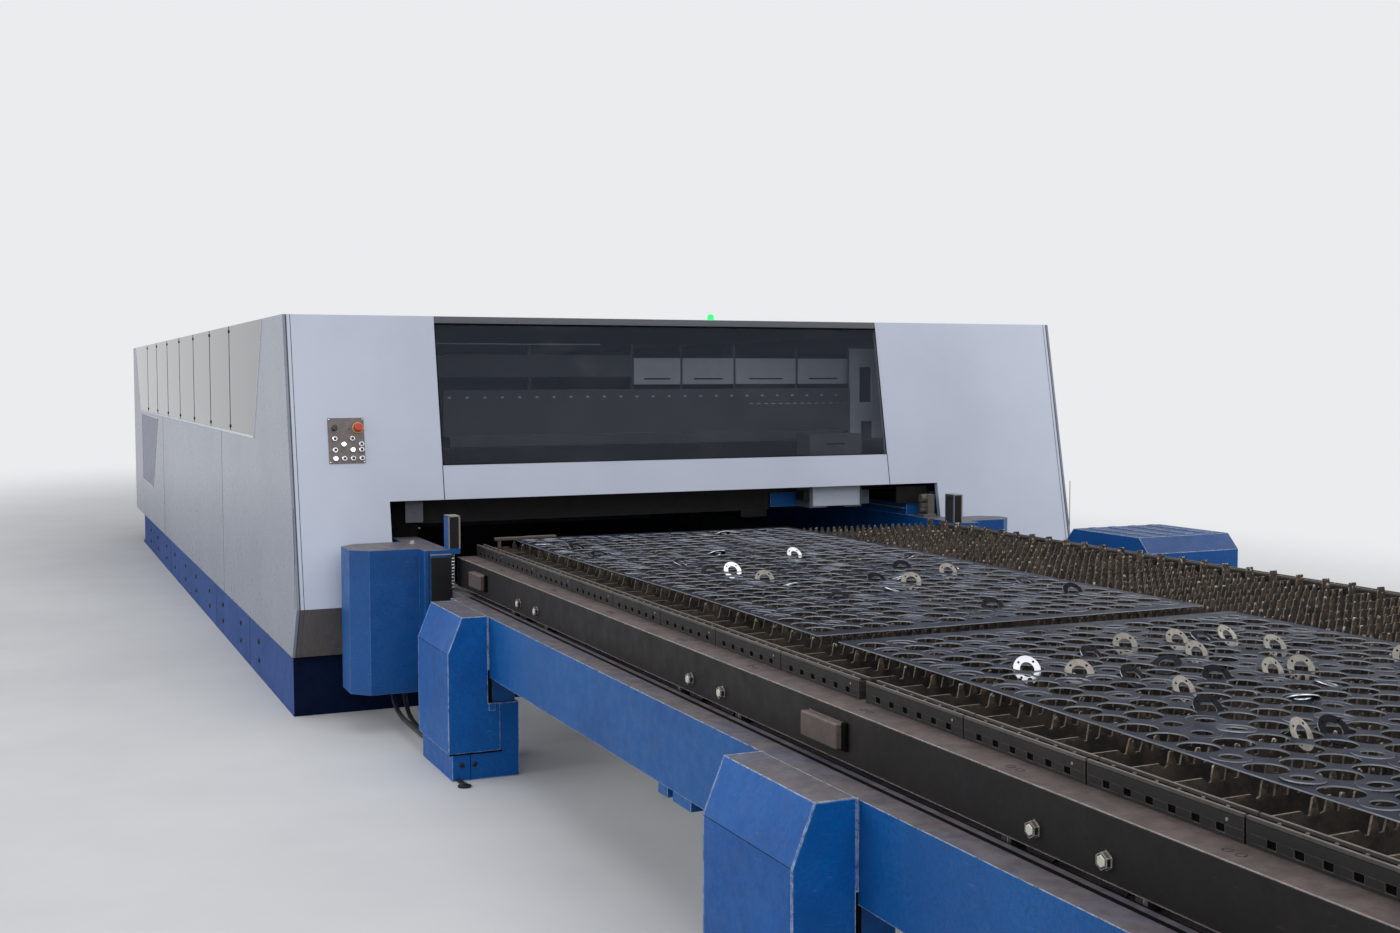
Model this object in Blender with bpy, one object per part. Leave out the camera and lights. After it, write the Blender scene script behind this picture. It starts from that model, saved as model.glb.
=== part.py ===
"""Fiber laser cutting machine with a wheeled pallet on a lifting table.

Metres, +Z up. The table runs out toward -Y and the cabin stands toward +Y.
The origin is on the floor, under the middle of the machine.
"""
import math

import bmesh
import bpy
from mathutils import Matrix, Vector

# Clearances and the overrun of a cut
gap = 0.0003
slide_gap = 0.0003
overrun = 0.02
merge_distance = 0.00001

# Cabin, with the room beside the pallet on each side
side_room = 0.85
cabin_length = 9.54
cabin_height = 1.90
wall = 0.015
front_wall = 0.03
wall_break = 0.531
wall_lean = 0.27
skirt_bottom = 0.288
skirt_tuck = 0.14
roof_thickness = 0.02

# Plinth, bed and gantry rails
plinth_tuck = 0.18
plinth_inset = 0.01
plinth_length = 8.51
plinth_wall = 0.10
leg_length = 0.22
leg_width = 0.12
leg_splay = 0.16
leg_height = 0.26
bed_floor = 0.098
girder_width = 0.36
girder_height = 0.095
girder_overhang = 0.60
rail_width = 0.04
rail_height = 0.03
rear_beam = 0.20
rear_beam_inset = 0.04

# Mouth, centred on the table, and the front window over it
table_offset = -0.202
mouth_margin = 0.189
mouth_top = 1.011
lintel_share = 0.1845
window_offset = -0.2205
window_width = 2.488
window_trim = 0.04
glass = 0.012

# Side windows
side_sill = 1.29
side_front_top = 0.90
side_front_bottom = 1.24
side_rear_top = 0.30
side_rear_bottom = 0.73

# Signal lamp on the roof's front edge
lamp_radius = 0.018
lamp_height = 0.032
lamp_shoulder_share = 0.7
lamp_crown_share = 0.6
lamp_offset = 0.062
lamp_setback = 0.05

# Control plate with its buttons
plate_width = 0.170
plate_height = 0.217
plate_thickness = 0.004
plate_left = 0.184
plate_top = 1.408
button_column = 0.030
button_pitch = 0.0413
button_row = 0.099
button_row_step = 0.0270
button_last_row = 0.194
button_radius = 0.0108
button_ring = 0.0130
button_height = 0.006
button_travel = 0.004
button_stem = 0.008
control_sides = 10
knob_radius = 0.013
knob_height = 0.022
knob_bevel_share = 0.15
knob_bar_width = 0.0065
knob_bar_top = 0.0265
head_row = 0.048
estop_radius = 0.020
estop_height = 0.024
estop_collar = 0.026
estop_collar_height = 0.006
estop_travel = 0.006
estop_bevel_share = 0.2
socket_depth = 0.024

# Lifting table
table_reach = 7.51
table_length = 6.80
beam_overhang = 0.113
beam_width = 0.18
beam_top = 0.648
beam_depth = 0.243
track_width = 0.07
track_depth = 0.018
tie_width = 0.15
tie_depth = 0.15
lift_travel = 0.10

# Lift columns
columns_a_side = 3
first_column = 0.5725
last_column = 0.3475
column_length = 0.475
column_height = 0.30
column_wall = 0.012
column_foot = 0.02
tube_width = 0.12
hood_width = 0.162
hood_top = 0.653
hood_shoulder = 0.51
hood_bottom = 0.11
hood_chamfer = 0.058
base_inset = 0.015
leg_gap = 0.0003
hood_clearance = 0.008

# Drive of the lift beside the last right column, under its own cover
drive_start = 0.316
drive_width = 0.553
drive_length = 0.64
drive_top = 0.825
drive_shoulder = 0.752
drive_chamfer = 0.07
drive_neck = 0.30

# Inner track in the cabin
inner_start = 0.02
inner_end = 0.13
inner_depth = 0.118

# Pallet
pallet_length = 6.98
pallet_back = 0.41
pallet_width = 2.68
pallet_bottom = 0.66
pallet_top = 0.79
web = 0.012
flange = 0.20
flange_thickness = 0.015
cross_width = 0.08
cross_top = 0.74
bumper_length = 0.18
bumper_height = 0.06
bumper_depth = 0.025
bumper_places = (0.37, 3.47)

# Wheels of the pallet
wheel_radius = 0.07
wheel_width = 0.036
wheel_flange = 0.006
wheel_gap = 0.004
wheel_pitch = 0.222
bogie_pitch = 1.70
first_bogie = 1.04
bogie_count = 4
pin_radius = 0.012
pin_gap = 0.0005
bolt_radius = 0.018
bolt_height = 0.012

# Slat banks
strip_width = 0.036
strip_height = 0.05
strip_inset = 0.09
strip_break = 0.03
strip_groove = 0.020
strip_groove_depth = 0.010
notch = 0.014
slat_pitch = 0.125
slat_thickness = 0.005
slat_tip = 0.855
slat_valley = 0.825
slat_teeth = 7
ear_length = 0.02
ear_rise = 0.004
ear_drop = 0.018

# Sheets left on the slats
sheet_width = 1.41
sheet_length = 2.93
sheet_thickness = 0.003
sheet_inset = 0.255
sheet_back = 0.02
sheet_spacing = 0.12
sheet_hole = 0.13
sheet_margin = 0.16
sheet_columns = 3
sheet_rows = 6

# Gear beside the mouth
box_width = 0.118
box_front = 0.46
box_back = 0.78
right_setback = 0.10
box_bottom = 0.30
box_top = 0.83
housing_width = 0.32
housing_front = 0.36
housing_back = 0.03
housing_bottom = 0.18
housing_corner = 0.075
post_width = 0.053
post_overhang = 0.008
post_depth = 0.08
post_height = 0.15
guide_width = 0.08
guide_depth = 0.02
guide_height = 0.22

# Cables from the left housing's underside to the nearest lift column
cable_radius = 0.011
cable_spacing = 0.055
cable_inset = 0.035
cable_drop_shares = (0.78, 0.6)
cable_route_shares = ((0, 0), (0, 0.15), (0, 0.32), (0.05, 0.6), (0.16, 0.87),
                      (0.34, 1), (0.6, 1), (1, 1))
cable_gap = 0.0008

# Gantry, carriage and cutting head
gantry_setback = 0.34
gantry_depth = 0.25
gantry_bottom = 0.967
gantry_height = 0.28
truck_length = 0.42
trough_bottom = 0.878
trough_length = 1.95
trough_start = 0.02
carriage_width = 0.32
carriage_depth = 0.15
carriage_bottom = 0.89
carriage_height = 0.40
carriage_offset = 0.94
carriage_roof = 0.05
head_width = 0.11
head_tip = 0.995
head_height = 0.235
head_neck = 0.07
nozzle_radius = 0.012
barrel_radius = 0.030

# Places worked out from the sizes above
overall_length = table_reach + cabin_length
front_y = table_reach - overall_length / 2
rear_y = front_y + cabin_length
table_front = front_y - table_reach
pallet_half = pallet_width / 2
side_x = pallet_half + side_room
lean_share = wall_lean / (cabin_height - wall_break)
plinth_top = skirt_bottom - gap
plinth_front = front_y + plinth_tuck
plinth_back = plinth_front + plinth_length
mouth_left = table_offset - pallet_half - mouth_margin
mouth_right = table_offset + pallet_half + mouth_margin
window_left = window_offset - window_width / 2
window_right = window_offset + window_width / 2
window_bottom = mouth_top + (cabin_height - mouth_top) * lintel_share
beam_outer = pallet_half + beam_overhang
beam_inner = beam_outer - beam_width
beam_back = table_front + table_length
column_pitch = (table_length - first_column - last_column) / (columns_a_side - 1)
rail_top = beam_top - track_depth
pallet_rear_y = front_y - pallet_back
pallet_front_y = pallet_rear_y - pallet_length
box_inner = pallet_half + bumper_depth + wheel_gap + wall
axle_z = rail_top + wheel_radius + gap
wheel_x = pallet_half - web - wheel_gap - wheel_width / 2
strip_x = pallet_half - strip_inset
strip_top = pallet_top + gap + strip_height
girder_top = box_top + gap + girder_height
gantry_front = front_y + gantry_setback
carriage_back = gantry_front - slide_gap


def clear_scene():
    """Removes every object, mesh and material that the file holds."""
    for item in list(bpy.data.objects):
        bpy.data.objects.remove(item, do_unlink=True)


def material(name, colour, roughness, metallic):
    """A Principled material of one colour."""
    made = bpy.data.materials.new(name)
    made.use_nodes = True
    shader = made.node_tree.nodes["Principled BSDF"]
    shader.inputs["Base Color"].default_value = (*colour, 1.0)
    shader.inputs["Roughness"].default_value = roughness
    shader.inputs["Metallic"].default_value = metallic
    made.diffuse_color = (*colour, 1.0)
    return made


def place(name, shape, look):
    """Turns a bmesh into a named object."""
    bmesh.ops.recalc_face_normals(shape, faces=shape.faces)
    mesh = bpy.data.meshes.new(name)
    shape.to_mesh(mesh)
    shape.free()
    made = bpy.data.objects.new(name, mesh)
    bpy.context.scene.collection.objects.link(made)
    if look is not None:
        made.data.materials.append(look)
    return made


def box(low, high):
    """A block between two corners."""
    shape = bmesh.new()
    bmesh.ops.create_cube(shape, size=1.0)
    for corner in shape.verts:
        corner.co = Vector([low[i] if corner.co[i] < 0 else high[i] for i in range(3)])
    return shape


def prism(outline, axis, start, end):
    """An outline pushed along X, Y or Z. The outline's points are in the other two axes' order."""
    shape = bmesh.new()
    points = []
    for first, second in outline:
        place_of = {"x": (start, first, second), "y": (first, start, second), "z": (first, second, start)}
        points.append(shape.verts.new(place_of[axis]))
    face = shape.faces.new(points)
    side = bmesh.ops.extrude_face_region(shape, geom=[face])
    along = {"x": (1, 0, 0), "y": (0, 1, 0), "z": (0, 0, 1)}[axis]
    moved = [item for item in side["geom"] if isinstance(item, bmesh.types.BMVert)]
    bmesh.ops.translate(shape, verts=moved, vec=Vector(along) * (end - start))
    bmesh.ops.recalc_face_normals(shape, faces=shape.faces)
    return shape


def turned(profile, sides):
    """A profile of (radius, height) points turned about Z into a closed body."""
    shape = bmesh.new()
    rings = []
    for radius, height in profile:
        ring = []
        for step in range(sides):
            angle = 2 * math.pi * step / sides
            ring.append(shape.verts.new((radius * math.cos(angle), radius * math.sin(angle), height)))
        rings.append(ring)
    for low, high in zip(rings, rings[1:]):
        for step in range(sides):
            after = (step + 1) % sides
            shape.faces.new((low[step], low[after], high[after], high[step]))
    shape.faces.new(rings[0])
    shape.faces.new(rings[-1])
    bmesh.ops.recalc_face_normals(shape, faces=shape.faces)
    return shape


def ring_body(profile, sides):
    """A closed profile of (radius, height) points turned about Z into a ring with an open bore."""
    shape = bmesh.new()
    rings = []
    for radius, height in profile:
        ring = []
        for step in range(sides):
            angle = 2 * math.pi * step / sides
            ring.append(shape.verts.new((radius * math.cos(angle), radius * math.sin(angle), height)))
        rings.append(ring)
    for index, low in enumerate(rings):
        high = rings[(index + 1) % len(rings)]
        for step in range(sides):
            after = (step + 1) % sides
            shape.faces.new((low[step], low[after], high[after], high[step]))
    bmesh.ops.recalc_face_normals(shape, faces=shape.faces)
    return shape


def moved(shape, matrix):
    """A shape carried by a matrix."""
    bmesh.ops.transform(shape, matrix=matrix, verts=shape.verts)
    return shape


def gathered(shapes):
    """Shapes that don't meet, as one bmesh."""
    whole = bmesh.new()
    for shape in shapes:
        mesh = bpy.data.meshes.new("gathered")
        shape.to_mesh(mesh)
        shape.free()
        whole.from_mesh(mesh)
        bpy.data.meshes.remove(mesh)
    return whole


def combine(first, second, operation):
    """The union or the difference of two shapes, by an exact Boolean."""
    base = place("base", first, None)
    tool = place("tool", second, None)
    tool.hide_render = True
    tool.display_type = "WIRE"
    step = base.modifiers.new("step", "BOOLEAN")
    step.operation = operation
    step.solver = "EXACT"
    step.object = tool
    seen = base.evaluated_get(bpy.context.evaluated_depsgraph_get())
    result = bmesh.new()
    result.from_mesh(seen.to_mesh())
    seen.to_mesh_clear()
    for item in (base, tool):
        mesh = item.data
        bpy.data.objects.remove(item, do_unlink=True)
        bpy.data.meshes.remove(mesh)
    bmesh.ops.remove_doubles(result, verts=result.verts, dist=merge_distance)
    return result


def fused(shapes):
    """The union of shapes that overlap."""
    whole = shapes[0]
    for shape in shapes[1:]:
        whole = combine(whole, shape, "UNION")
    return whole


def cut(shape, tools):
    """A shape less its tools, which don't meet each other."""
    return combine(shape, gathered(tools), "DIFFERENCE")


def mirrored(shape):
    """A shape of the left side, carried to the right side of the table's middle plane."""
    flip = Matrix.Translation((table_offset, 0, 0)) @ Matrix.Scale(-1, 4, (1, 0, 0))
    moved(shape, flip @ Matrix.Translation((-table_offset, 0, 0)))
    bmesh.ops.reverse_faces(shape, faces=shape.faces)
    return shape


def wall_y(height):
    """Where the front wall's outer face stands at a height."""
    if height >= wall_break:
        return front_y + (height - wall_break) * lean_share
    return front_y + (wall_break - height) * skirt_tuck / (wall_break - skirt_bottom)


def table_x(distance, side):
    """An X at a distance from the table's middle, on side -1 or 1."""
    return table_offset + side * distance


def plinth(look):
    """The blue base ring that the cabin stands on, with its two splayed legs behind."""
    half = side_x - plinth_inset
    ring = cut(box((-half, plinth_front, 0), (half, plinth_back, plinth_top)),
               [box((plinth_wall - half, plinth_front + plinth_wall, -overrun),
                    (half - plinth_wall, plinth_back - plinth_wall, plinth_top + overrun))])
    legs = []
    for side in (-1, 1):
        outer = side * half
        inner = side * (half - leg_width)
        high_outer = side * (half - leg_splay)
        high_inner = side * (half - leg_splay - leg_width)
        outline = [(outer, 0), (inner, 0), (high_inner, leg_height), (high_outer, leg_height)]
        legs.append(prism(outline, "y", plinth_back - plinth_wall / 2, plinth_back + leg_length))
    return place("plinth", fused([ring, *legs]), look)


def bed(look):
    """The floor and the two girders inside the cabin, with the gantry's rails on top."""
    half = side_x - plinth_inset - plinth_wall - gap
    low_y = plinth_front + plinth_wall + gap
    high_y = plinth_back - plinth_wall - gap
    pieces = [box((-half, low_y, plinth_top - bed_floor), (half, high_y, plinth_top))]
    girder_front = front_y + box_back + gap
    girder_low = box_top + gap
    for side in (-1, 1):
        inner = table_x(box_inner, side)
        outer = table_x(box_inner + girder_width, side)
        left, right = min(inner, outer), max(inner, outer)
        outline = [(girder_front, plinth_top - bed_floor / 2),
                   (high_y - overrun, plinth_top - bed_floor / 2),
                   (high_y - overrun, girder_top),
                   (girder_front - girder_overhang, girder_top),
                   (girder_front - girder_overhang, girder_low),
                   (girder_front, girder_low)]
        pieces.append(prism(outline, "x", left, right))
        middle = (left + right) / 2
        rail_low = girder_top - girder_height / 2
        pieces.append(box((middle - rail_width / 2, girder_front - girder_overhang, rail_low),
                          (middle + rail_width / 2, high_y - overrun, girder_top + rail_height)))
    reach = box_inner + girder_width / 2
    pieces.append(box((table_x(reach, -1), high_y - rear_beam, plinth_top - bed_floor / 2),
                      (table_x(reach, 1), high_y - rear_beam_inset, plinth_top + rear_beam)))
    return place("bed", fused(pieces), look)


def front_profile(low, high, depth):
    """The leaning wall's section in Y and Z between two heights."""
    heights = [low] + [z for z in (wall_break,) if low < z < high] + [high]
    outer = [(wall_y(z), z) for z in heights]
    inner = [(wall_y(z) + depth, z) for z in reversed(heights)]
    return outer + inner


def front_panels(look):
    """The two leaning front panels with their tucked skirts, each cut away at the mouth."""
    made = []
    spans = {"front_panel_left": (wall + gap - side_x, window_left - gap, mouth_left),
             "front_panel_right": (window_right + gap, side_x - wall - gap, mouth_right)}
    for name, (left, right, jamb) in spans.items():
        panel = prism(front_profile(skirt_bottom, cabin_height, front_wall), "x", left, right)
        if name == "front_panel_left":
            low, high = jamb, right + overrun
        else:
            low, high = left - overrun, jamb
        opening = box((low, front_y - overrun, skirt_bottom - overrun),
                      (high, front_y + wall_lean + front_wall, mouth_top))
        panel = cut(panel, [opening])
        if name == "front_panel_left":
            panel = fused([panel, plate_shape()])
            panel = cut(panel, panel_sockets())
        made.append(place(name, panel, look))
    return made


def wall_frame(across, down):
    """A matrix from the control plate's own axes, with Z out of the wall, to the world."""
    drop = Vector((0, -lean_share, -1)).normalized()
    right = Vector((1, 0, 0))
    out = drop.cross(right)
    corner = Vector((plate_left - side_x, wall_y(plate_top), plate_top))
    origin = corner + right * across + drop * down
    turn = Matrix((right, -drop, out)).transposed().to_4x4()
    return Matrix.Translation(origin) @ turn


def plate_shape():
    """The control plate, with the collar of the emergency stop."""
    sunk = front_wall / 2
    plate = moved(box((0, -plate_height, -sunk), (plate_width, 0, plate_thickness)), wall_frame(0, 0))
    across, down = estop_place()
    collar = turned([(estop_collar, -sunk), (estop_collar, plate_thickness + estop_collar_height)], 20)
    return fused([plate, moved(collar, wall_frame(across, down))])


def column_x(column):
    """The distance of a column of buttons from the plate's left edge."""
    return button_column + column * button_pitch


def button_places():
    """Each button's column and drop on the plate, row by row."""
    rows = [(0, (0, 2)), (1, (1, 3)), (2, (0, 2, 3))]
    places = [(column_x(c), button_row + row * button_row_step) for row, columns in rows for c in columns]
    return places + [(column_x(c), button_last_row) for c in range(4)]


def estop_place():
    """The place of the emergency stop on the plate."""
    return column_x(3) - estop_collar / 2, head_row


def knob_place():
    """The place of the selector knob on the plate."""
    return button_column, head_row


def panel_sockets():
    """The bores that the buttons' stems slide in."""
    tools = []
    bottom = plate_thickness - socket_depth
    for across, down in [*button_places(), knob_place(), estop_place()]:
        bore = turned([(button_stem + slide_gap, bottom),
                       (button_stem + slide_gap, plate_thickness + estop_collar_height + overrun)], control_sides)
        tools.append(moved(bore, wall_frame(across, down)))
    return tools


def turning_stem():
    """The radius of a stem whose corners stay inside the flats of its bore when it turns."""
    return (button_stem + slide_gap) * math.cos(math.pi / control_sides) - slide_gap


def stemmed(radius, height, seat, travel, bevel_share, stem):
    """A button head on its stem, its underside raised off the seat by its travel."""
    low = seat + travel + gap
    top = low + height
    rim = radius * (1 - bevel_share)
    stem_low = plate_thickness - socket_depth + travel + gap
    return turned([(stem, stem_low), (stem, low), (radius, low),
                   (radius, top - radius * bevel_share), (rim, top)], control_sides)


def control(name, shape, across, down, look):
    """Sets a control on the plate, with its origin on its own axis."""
    made = place(name, shape, look)
    made.matrix_world = wall_frame(across, down)
    made.data.shade_smooth()
    made.data.set_sharp_from_angle(angle=math.radians(40))
    return made


def controls(looks):
    """The buttons, the selector knob and the emergency stop."""
    bevel_share = 1 - button_radius / button_ring
    for index, (across, down) in enumerate(button_places()):
        shape = stemmed(button_ring, button_height, plate_thickness, button_travel, bevel_share, button_stem)
        control(f"button_{index + 1}", shape, across, down, looks["chrome"])
    across, down = knob_place()
    knob = stemmed(knob_radius, knob_height, plate_thickness, gap, knob_bevel_share, turning_stem())
    bar = box((-knob_bar_width / 2, -knob_radius, knob_height / 2),
              (knob_bar_width / 2, knob_radius, knob_bar_top))
    control("selector_knob", fused([knob, bar]), across, down, looks["black"])
    across, down = estop_place()
    seat = plate_thickness + estop_collar_height
    stop = stemmed(estop_radius, estop_height - estop_travel, seat, estop_travel, estop_bevel_share,
                   button_stem)
    control("emergency_stop", stop, across, down, looks["red"])


def front_centre(looks):
    """The lintel over the mouth and the window above it."""
    low_x, high_x = window_left, window_right
    strip = prism(front_profile(mouth_top, window_bottom - gap, front_wall), "x", low_x, high_x)
    place("front_lintel", strip, looks["white"])
    pane = prism(front_profile(window_bottom, cabin_height - window_trim - gap, glass), "x", low_x, high_x)
    place("front_window", pane, looks["glass"])


def side_outline():
    """The side wall's outline in Y and Z, with the window's notch in its top edge."""
    return [(wall_y(skirt_bottom), skirt_bottom),
            (rear_y, skirt_bottom),
            (rear_y, cabin_height),
            (rear_y - side_rear_top, cabin_height),
            (rear_y - side_rear_bottom, side_sill),
            (front_y + side_front_bottom, side_sill),
            (front_y + side_front_top, cabin_height),
            (wall_y(cabin_height), cabin_height),
            (front_y, wall_break)]


def side_pane():
    """The side window's outline, a clearance inside the notch."""
    return [(rear_y - side_rear_top - 2 * gap, cabin_height),
            (rear_y - side_rear_bottom - 2 * gap, side_sill + gap),
            (front_y + side_front_bottom + 2 * gap, side_sill + gap),
            (front_y + side_front_top + 2 * gap, cabin_height)]


def side_walls(looks):
    """Both side walls with their windows."""
    for side, word in ((-1, "left"), (1, "right")):
        low, high = sorted((side * side_x, side * (side_x - wall)))
        place(f"side_wall_{word}", prism(side_outline(), "x", low, high), looks["white"])
        place(f"side_window_{word}", prism(side_pane(), "x", low, high), looks["glass"])


def roof(look):
    """The roof with the rear wall, the trim over the front window and the signal lamp."""
    half = side_x - wall - gap
    front = wall_y(cabin_height) + front_wall + gap
    top = box((-half, front, cabin_height - roof_thickness), (half, rear_y, cabin_height))
    back = box((-half, rear_y - wall, skirt_bottom), (half, rear_y, cabin_height - roof_thickness / 2))
    trim_low = cabin_height - window_trim
    trim = prism(front_profile(trim_low, cabin_height, front_wall * 2), "x", window_left, window_right)
    lamp_low = cabin_height - roof_thickness / 2
    lamp = turned([(lamp_radius, lamp_low), (lamp_radius, cabin_height + lamp_height * lamp_shoulder_share),
                   (lamp_radius * lamp_crown_share, cabin_height + lamp_height)], 16)
    lamp = moved(lamp, Matrix.Translation((lamp_offset, front + lamp_setback, 0)))
    return place("roof", fused([top, back, trim, lamp]), look)


def mouth_gear(side, look):
    """The drive housing, the box that runs into the mouth, its guide and its post."""
    setback = right_setback if side > 0 else 0
    front = front_y - box_front + setback
    inner = table_x(box_inner, -1)
    outer = inner - box_width
    pieces = [box((outer, front, box_bottom), (inner, front_y + box_back, box_top))]
    low_x, high_x = outer - housing_width + overrun, outer + overrun
    low_y, high_y = front_y - housing_front + setback, front_y - housing_back
    corner = housing_corner
    outline = [(low_x + corner, low_y), (high_x, low_y), (high_x, high_y), (low_x + corner, high_y),
               (low_x, high_y - corner), (low_x, low_y + corner)]
    pieces.append(prism(outline, "z", housing_bottom, box_top))
    post_x = inner - post_overhang
    pieces.append(box((post_x, front, box_top - overrun), (post_x + post_width, front + post_depth, box_top)))
    post = box((post_x, front, box_top - overrun / 2),
               (post_x + post_width, front + post_depth, box_top + post_height))
    pieces.append(post)
    guide_x = inner - wall - guide_width
    pieces.append(box((guide_x, front - guide_depth, box_top - guide_height - overrun),
                      (guide_x + guide_width, front + overrun, box_top - overrun)))
    shape = fused(pieces)
    if side > 0:
        mirrored(shape)
    return place("mouth_gear_right" if side > 0 else "mouth_gear_left", shape, look)


def column_y(index):
    """The near face of a lift column, counted from the front of the table."""
    return table_front + first_column - column_length / 2 + index * column_pitch


def drive_cover(beam_x, middle):
    """The lift drive's cover, standing clear of the column, and the neck between them."""
    inner = beam_x - drive_start
    near, far = middle - drive_length / 2, middle + drive_length / 2
    cover = prism([(near, 0), (near, drive_shoulder), (near + drive_chamfer, drive_top),
                   (far - drive_chamfer, drive_top), (far, drive_shoulder), (far, 0)],
                  "x", inner - drive_width, inner)
    neck = box((inner - overrun, middle - drive_neck / 2, hood_bottom),
               (beam_x - hood_clearance - hood_width / 2, middle + drive_neck / 2, hood_shoulder))
    return [cover, neck]


def lift_column(index, side, look):
    """A lift column: the hooded jack beside the beam, and the open tube that the beam's leg slides in."""
    near = column_y(index)
    far = near + column_length
    beam_x = table_offset - beam_outer
    tube_x = beam_x + tube_width
    hood_inner = beam_x - hood_clearance
    outer = hood_inner - hood_width
    hood = prism([(outer, hood_bottom), (outer, hood_shoulder), (outer + hood_chamfer, hood_top),
                  (hood_inner, hood_top), (hood_inner, hood_bottom)], "y", near, far)
    base = box((outer + base_inset, near, 0), (hood_inner, far, hood_bottom + overrun))
    tube = box((hood_inner - overrun, near, 0), (tube_x, far, column_height))
    pieces = [hood, base, tube]
    if side > 0 and index == columns_a_side - 1:
        pieces += drive_cover(beam_x, (near + far) / 2)
    body = fused(pieces)
    bore = box((beam_x + column_wall, near + column_wall, column_foot),
               (tube_x - column_wall, far - column_wall, column_height + overrun))
    body = cut(body, [bore])
    if side > 0:
        mirrored(body)
    word = "right" if side > 0 else "left"
    return place(f"lift_column_{word}_{index + 1}", body, look)


def lift_frame(look):
    """The two table beams with their rails, ties and legs."""
    pieces = []
    bottom = beam_top - beam_depth
    for side in (-1, 1):
        outer = table_x(beam_outer, side)
        inner = table_x(beam_inner, side)
        step = table_x(wheel_x + track_width / 2, side)
        outline = [(outer, bottom), (outer, beam_top), (step, beam_top), (step, rail_top), (inner, rail_top),
                   (inner, bottom)]
        pieces.append(prism(outline, "y", table_front, beam_back))
        for index in range(columns_a_side):
            near = column_y(index) + column_wall + leg_gap
            far = near + column_length - 2 * (column_wall + leg_gap)
            start = outer - side * (column_wall + leg_gap)
            end = outer - side * (tube_width - column_wall - leg_gap)
            leg_low = column_foot + lift_travel + leg_gap
            pieces.append(box((min(start, end), near, leg_low), (max(start, end), far, bottom + overrun)))
    half = beam_outer - beam_width / 2
    tie_top = bottom + tie_depth
    spots = [table_front, (table_front + beam_back - tie_width) / 2, beam_back - tie_width]
    for spot in spots:
        pieces.append(box((table_x(half, -1), spot, bottom), (table_x(half, 1), spot + tie_width, tie_top)))
    return place("lift_frame", fused(pieces), look)


def inner_track(look):
    """The pair of rails inside the cabin that carries on from the table's."""
    start = beam_back + inner_start
    end = plinth_back - plinth_wall - inner_end - rear_beam
    low = beam_top - inner_depth
    outer = box_inner - slide_gap
    pieces = []
    for side in (-1, 1):
        a, b = table_x(outer, side), table_x(beam_inner, side)
        step = table_x(wheel_x + track_width / 2, side)
        outline = [(a, low), (a, beam_top), (step, beam_top), (step, rail_top), (b, rail_top), (b, low)]
        pieces.append(prism(outline, "y", start, end))
    half = beam_inner + overrun
    for spot in (start, (start + end - tie_width) / 2, end - tie_width):
        pieces.append(box((table_x(half, -1), spot, low),
                          (table_x(half, 1), spot + tie_width, low + inner_depth / 2)))
    return place("inner_track", fused(pieces), look)


def axle_places():
    """The Y of each wheel's axle on one side of the pallet."""
    places = []
    for bogie in range(bogie_count):
        middle = pallet_rear_y - first_bogie - bogie * bogie_pitch
        places += [middle + wheel_pitch / 2, middle - wheel_pitch / 2]
    return places


def pallet_frame(look):
    """The black pallet frame: two flanged side beams, cross members, bumper plates and wheel pins."""
    pieces = []
    for side in (-1, 1):
        outer = table_x(pallet_half, side)
        web_in = table_x(pallet_half - web, side)
        flange_in = table_x(pallet_half - flange, side)
        outline = [(outer, pallet_bottom), (web_in, pallet_bottom), (web_in, pallet_top - flange_thickness),
                   (flange_in, pallet_top - flange_thickness), (flange_in, pallet_top), (outer, pallet_top)]
        pieces.append(prism(outline, "y", pallet_front_y, pallet_rear_y))
        for place_back in bumper_places:
            high = pallet_rear_y - place_back + bumper_length / 2
            middle = (pallet_bottom + pallet_top) / 2
            bump = table_x(pallet_half + bumper_depth, side)
            pieces.append(box((min(bump, web_in), high - bumper_length, middle - bumper_height / 2),
                              (max(bump, web_in), high, middle + bumper_height / 2)))
    edge = pallet_half - web / 2
    inner = pallet_half - flange
    seat = pallet_top - flange_thickness / 2
    low = pallet_bottom + web / 2
    outline = [(table_x(edge, -1), low), (table_x(edge, 1), low), (table_x(edge, 1), seat),
               (table_x(inner, 1), seat), (table_x(inner, 1), cross_top), (table_x(inner, -1), cross_top),
               (table_x(inner, -1), seat), (table_x(edge, -1), seat)]
    for spot in cross_places():
        pieces.append(prism(outline, "y", spot - cross_width / 2, spot + cross_width / 2))
    body = fused(pieces)
    pins = []
    for side in (-1, 1):
        for spot in axle_places():
            pin = turned([(bolt_radius, -bolt_height), (bolt_radius, web / 2), (pin_radius, web / 2),
                          (pin_radius, web + wheel_gap * 2 + wheel_width)], 6)
            turn = Matrix.Rotation(-side * math.pi / 2, 4, "Y")
            pins.append(moved(pin, Matrix.Translation((table_x(pallet_half, side), spot, axle_z)) @ turn))
    return place("pallet_frame", combine(body, gathered(pins), "UNION"), look)


def cross_places():
    """The Y of each cross member: one at each end, and one between each pair of bogies."""
    places = [pallet_rear_y - cross_width, pallet_front_y + cross_width]
    for bogie in range(bogie_count - 1):
        places.append(pallet_rear_y - first_bogie - (bogie + 0.5) * bogie_pitch)
    return places


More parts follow.
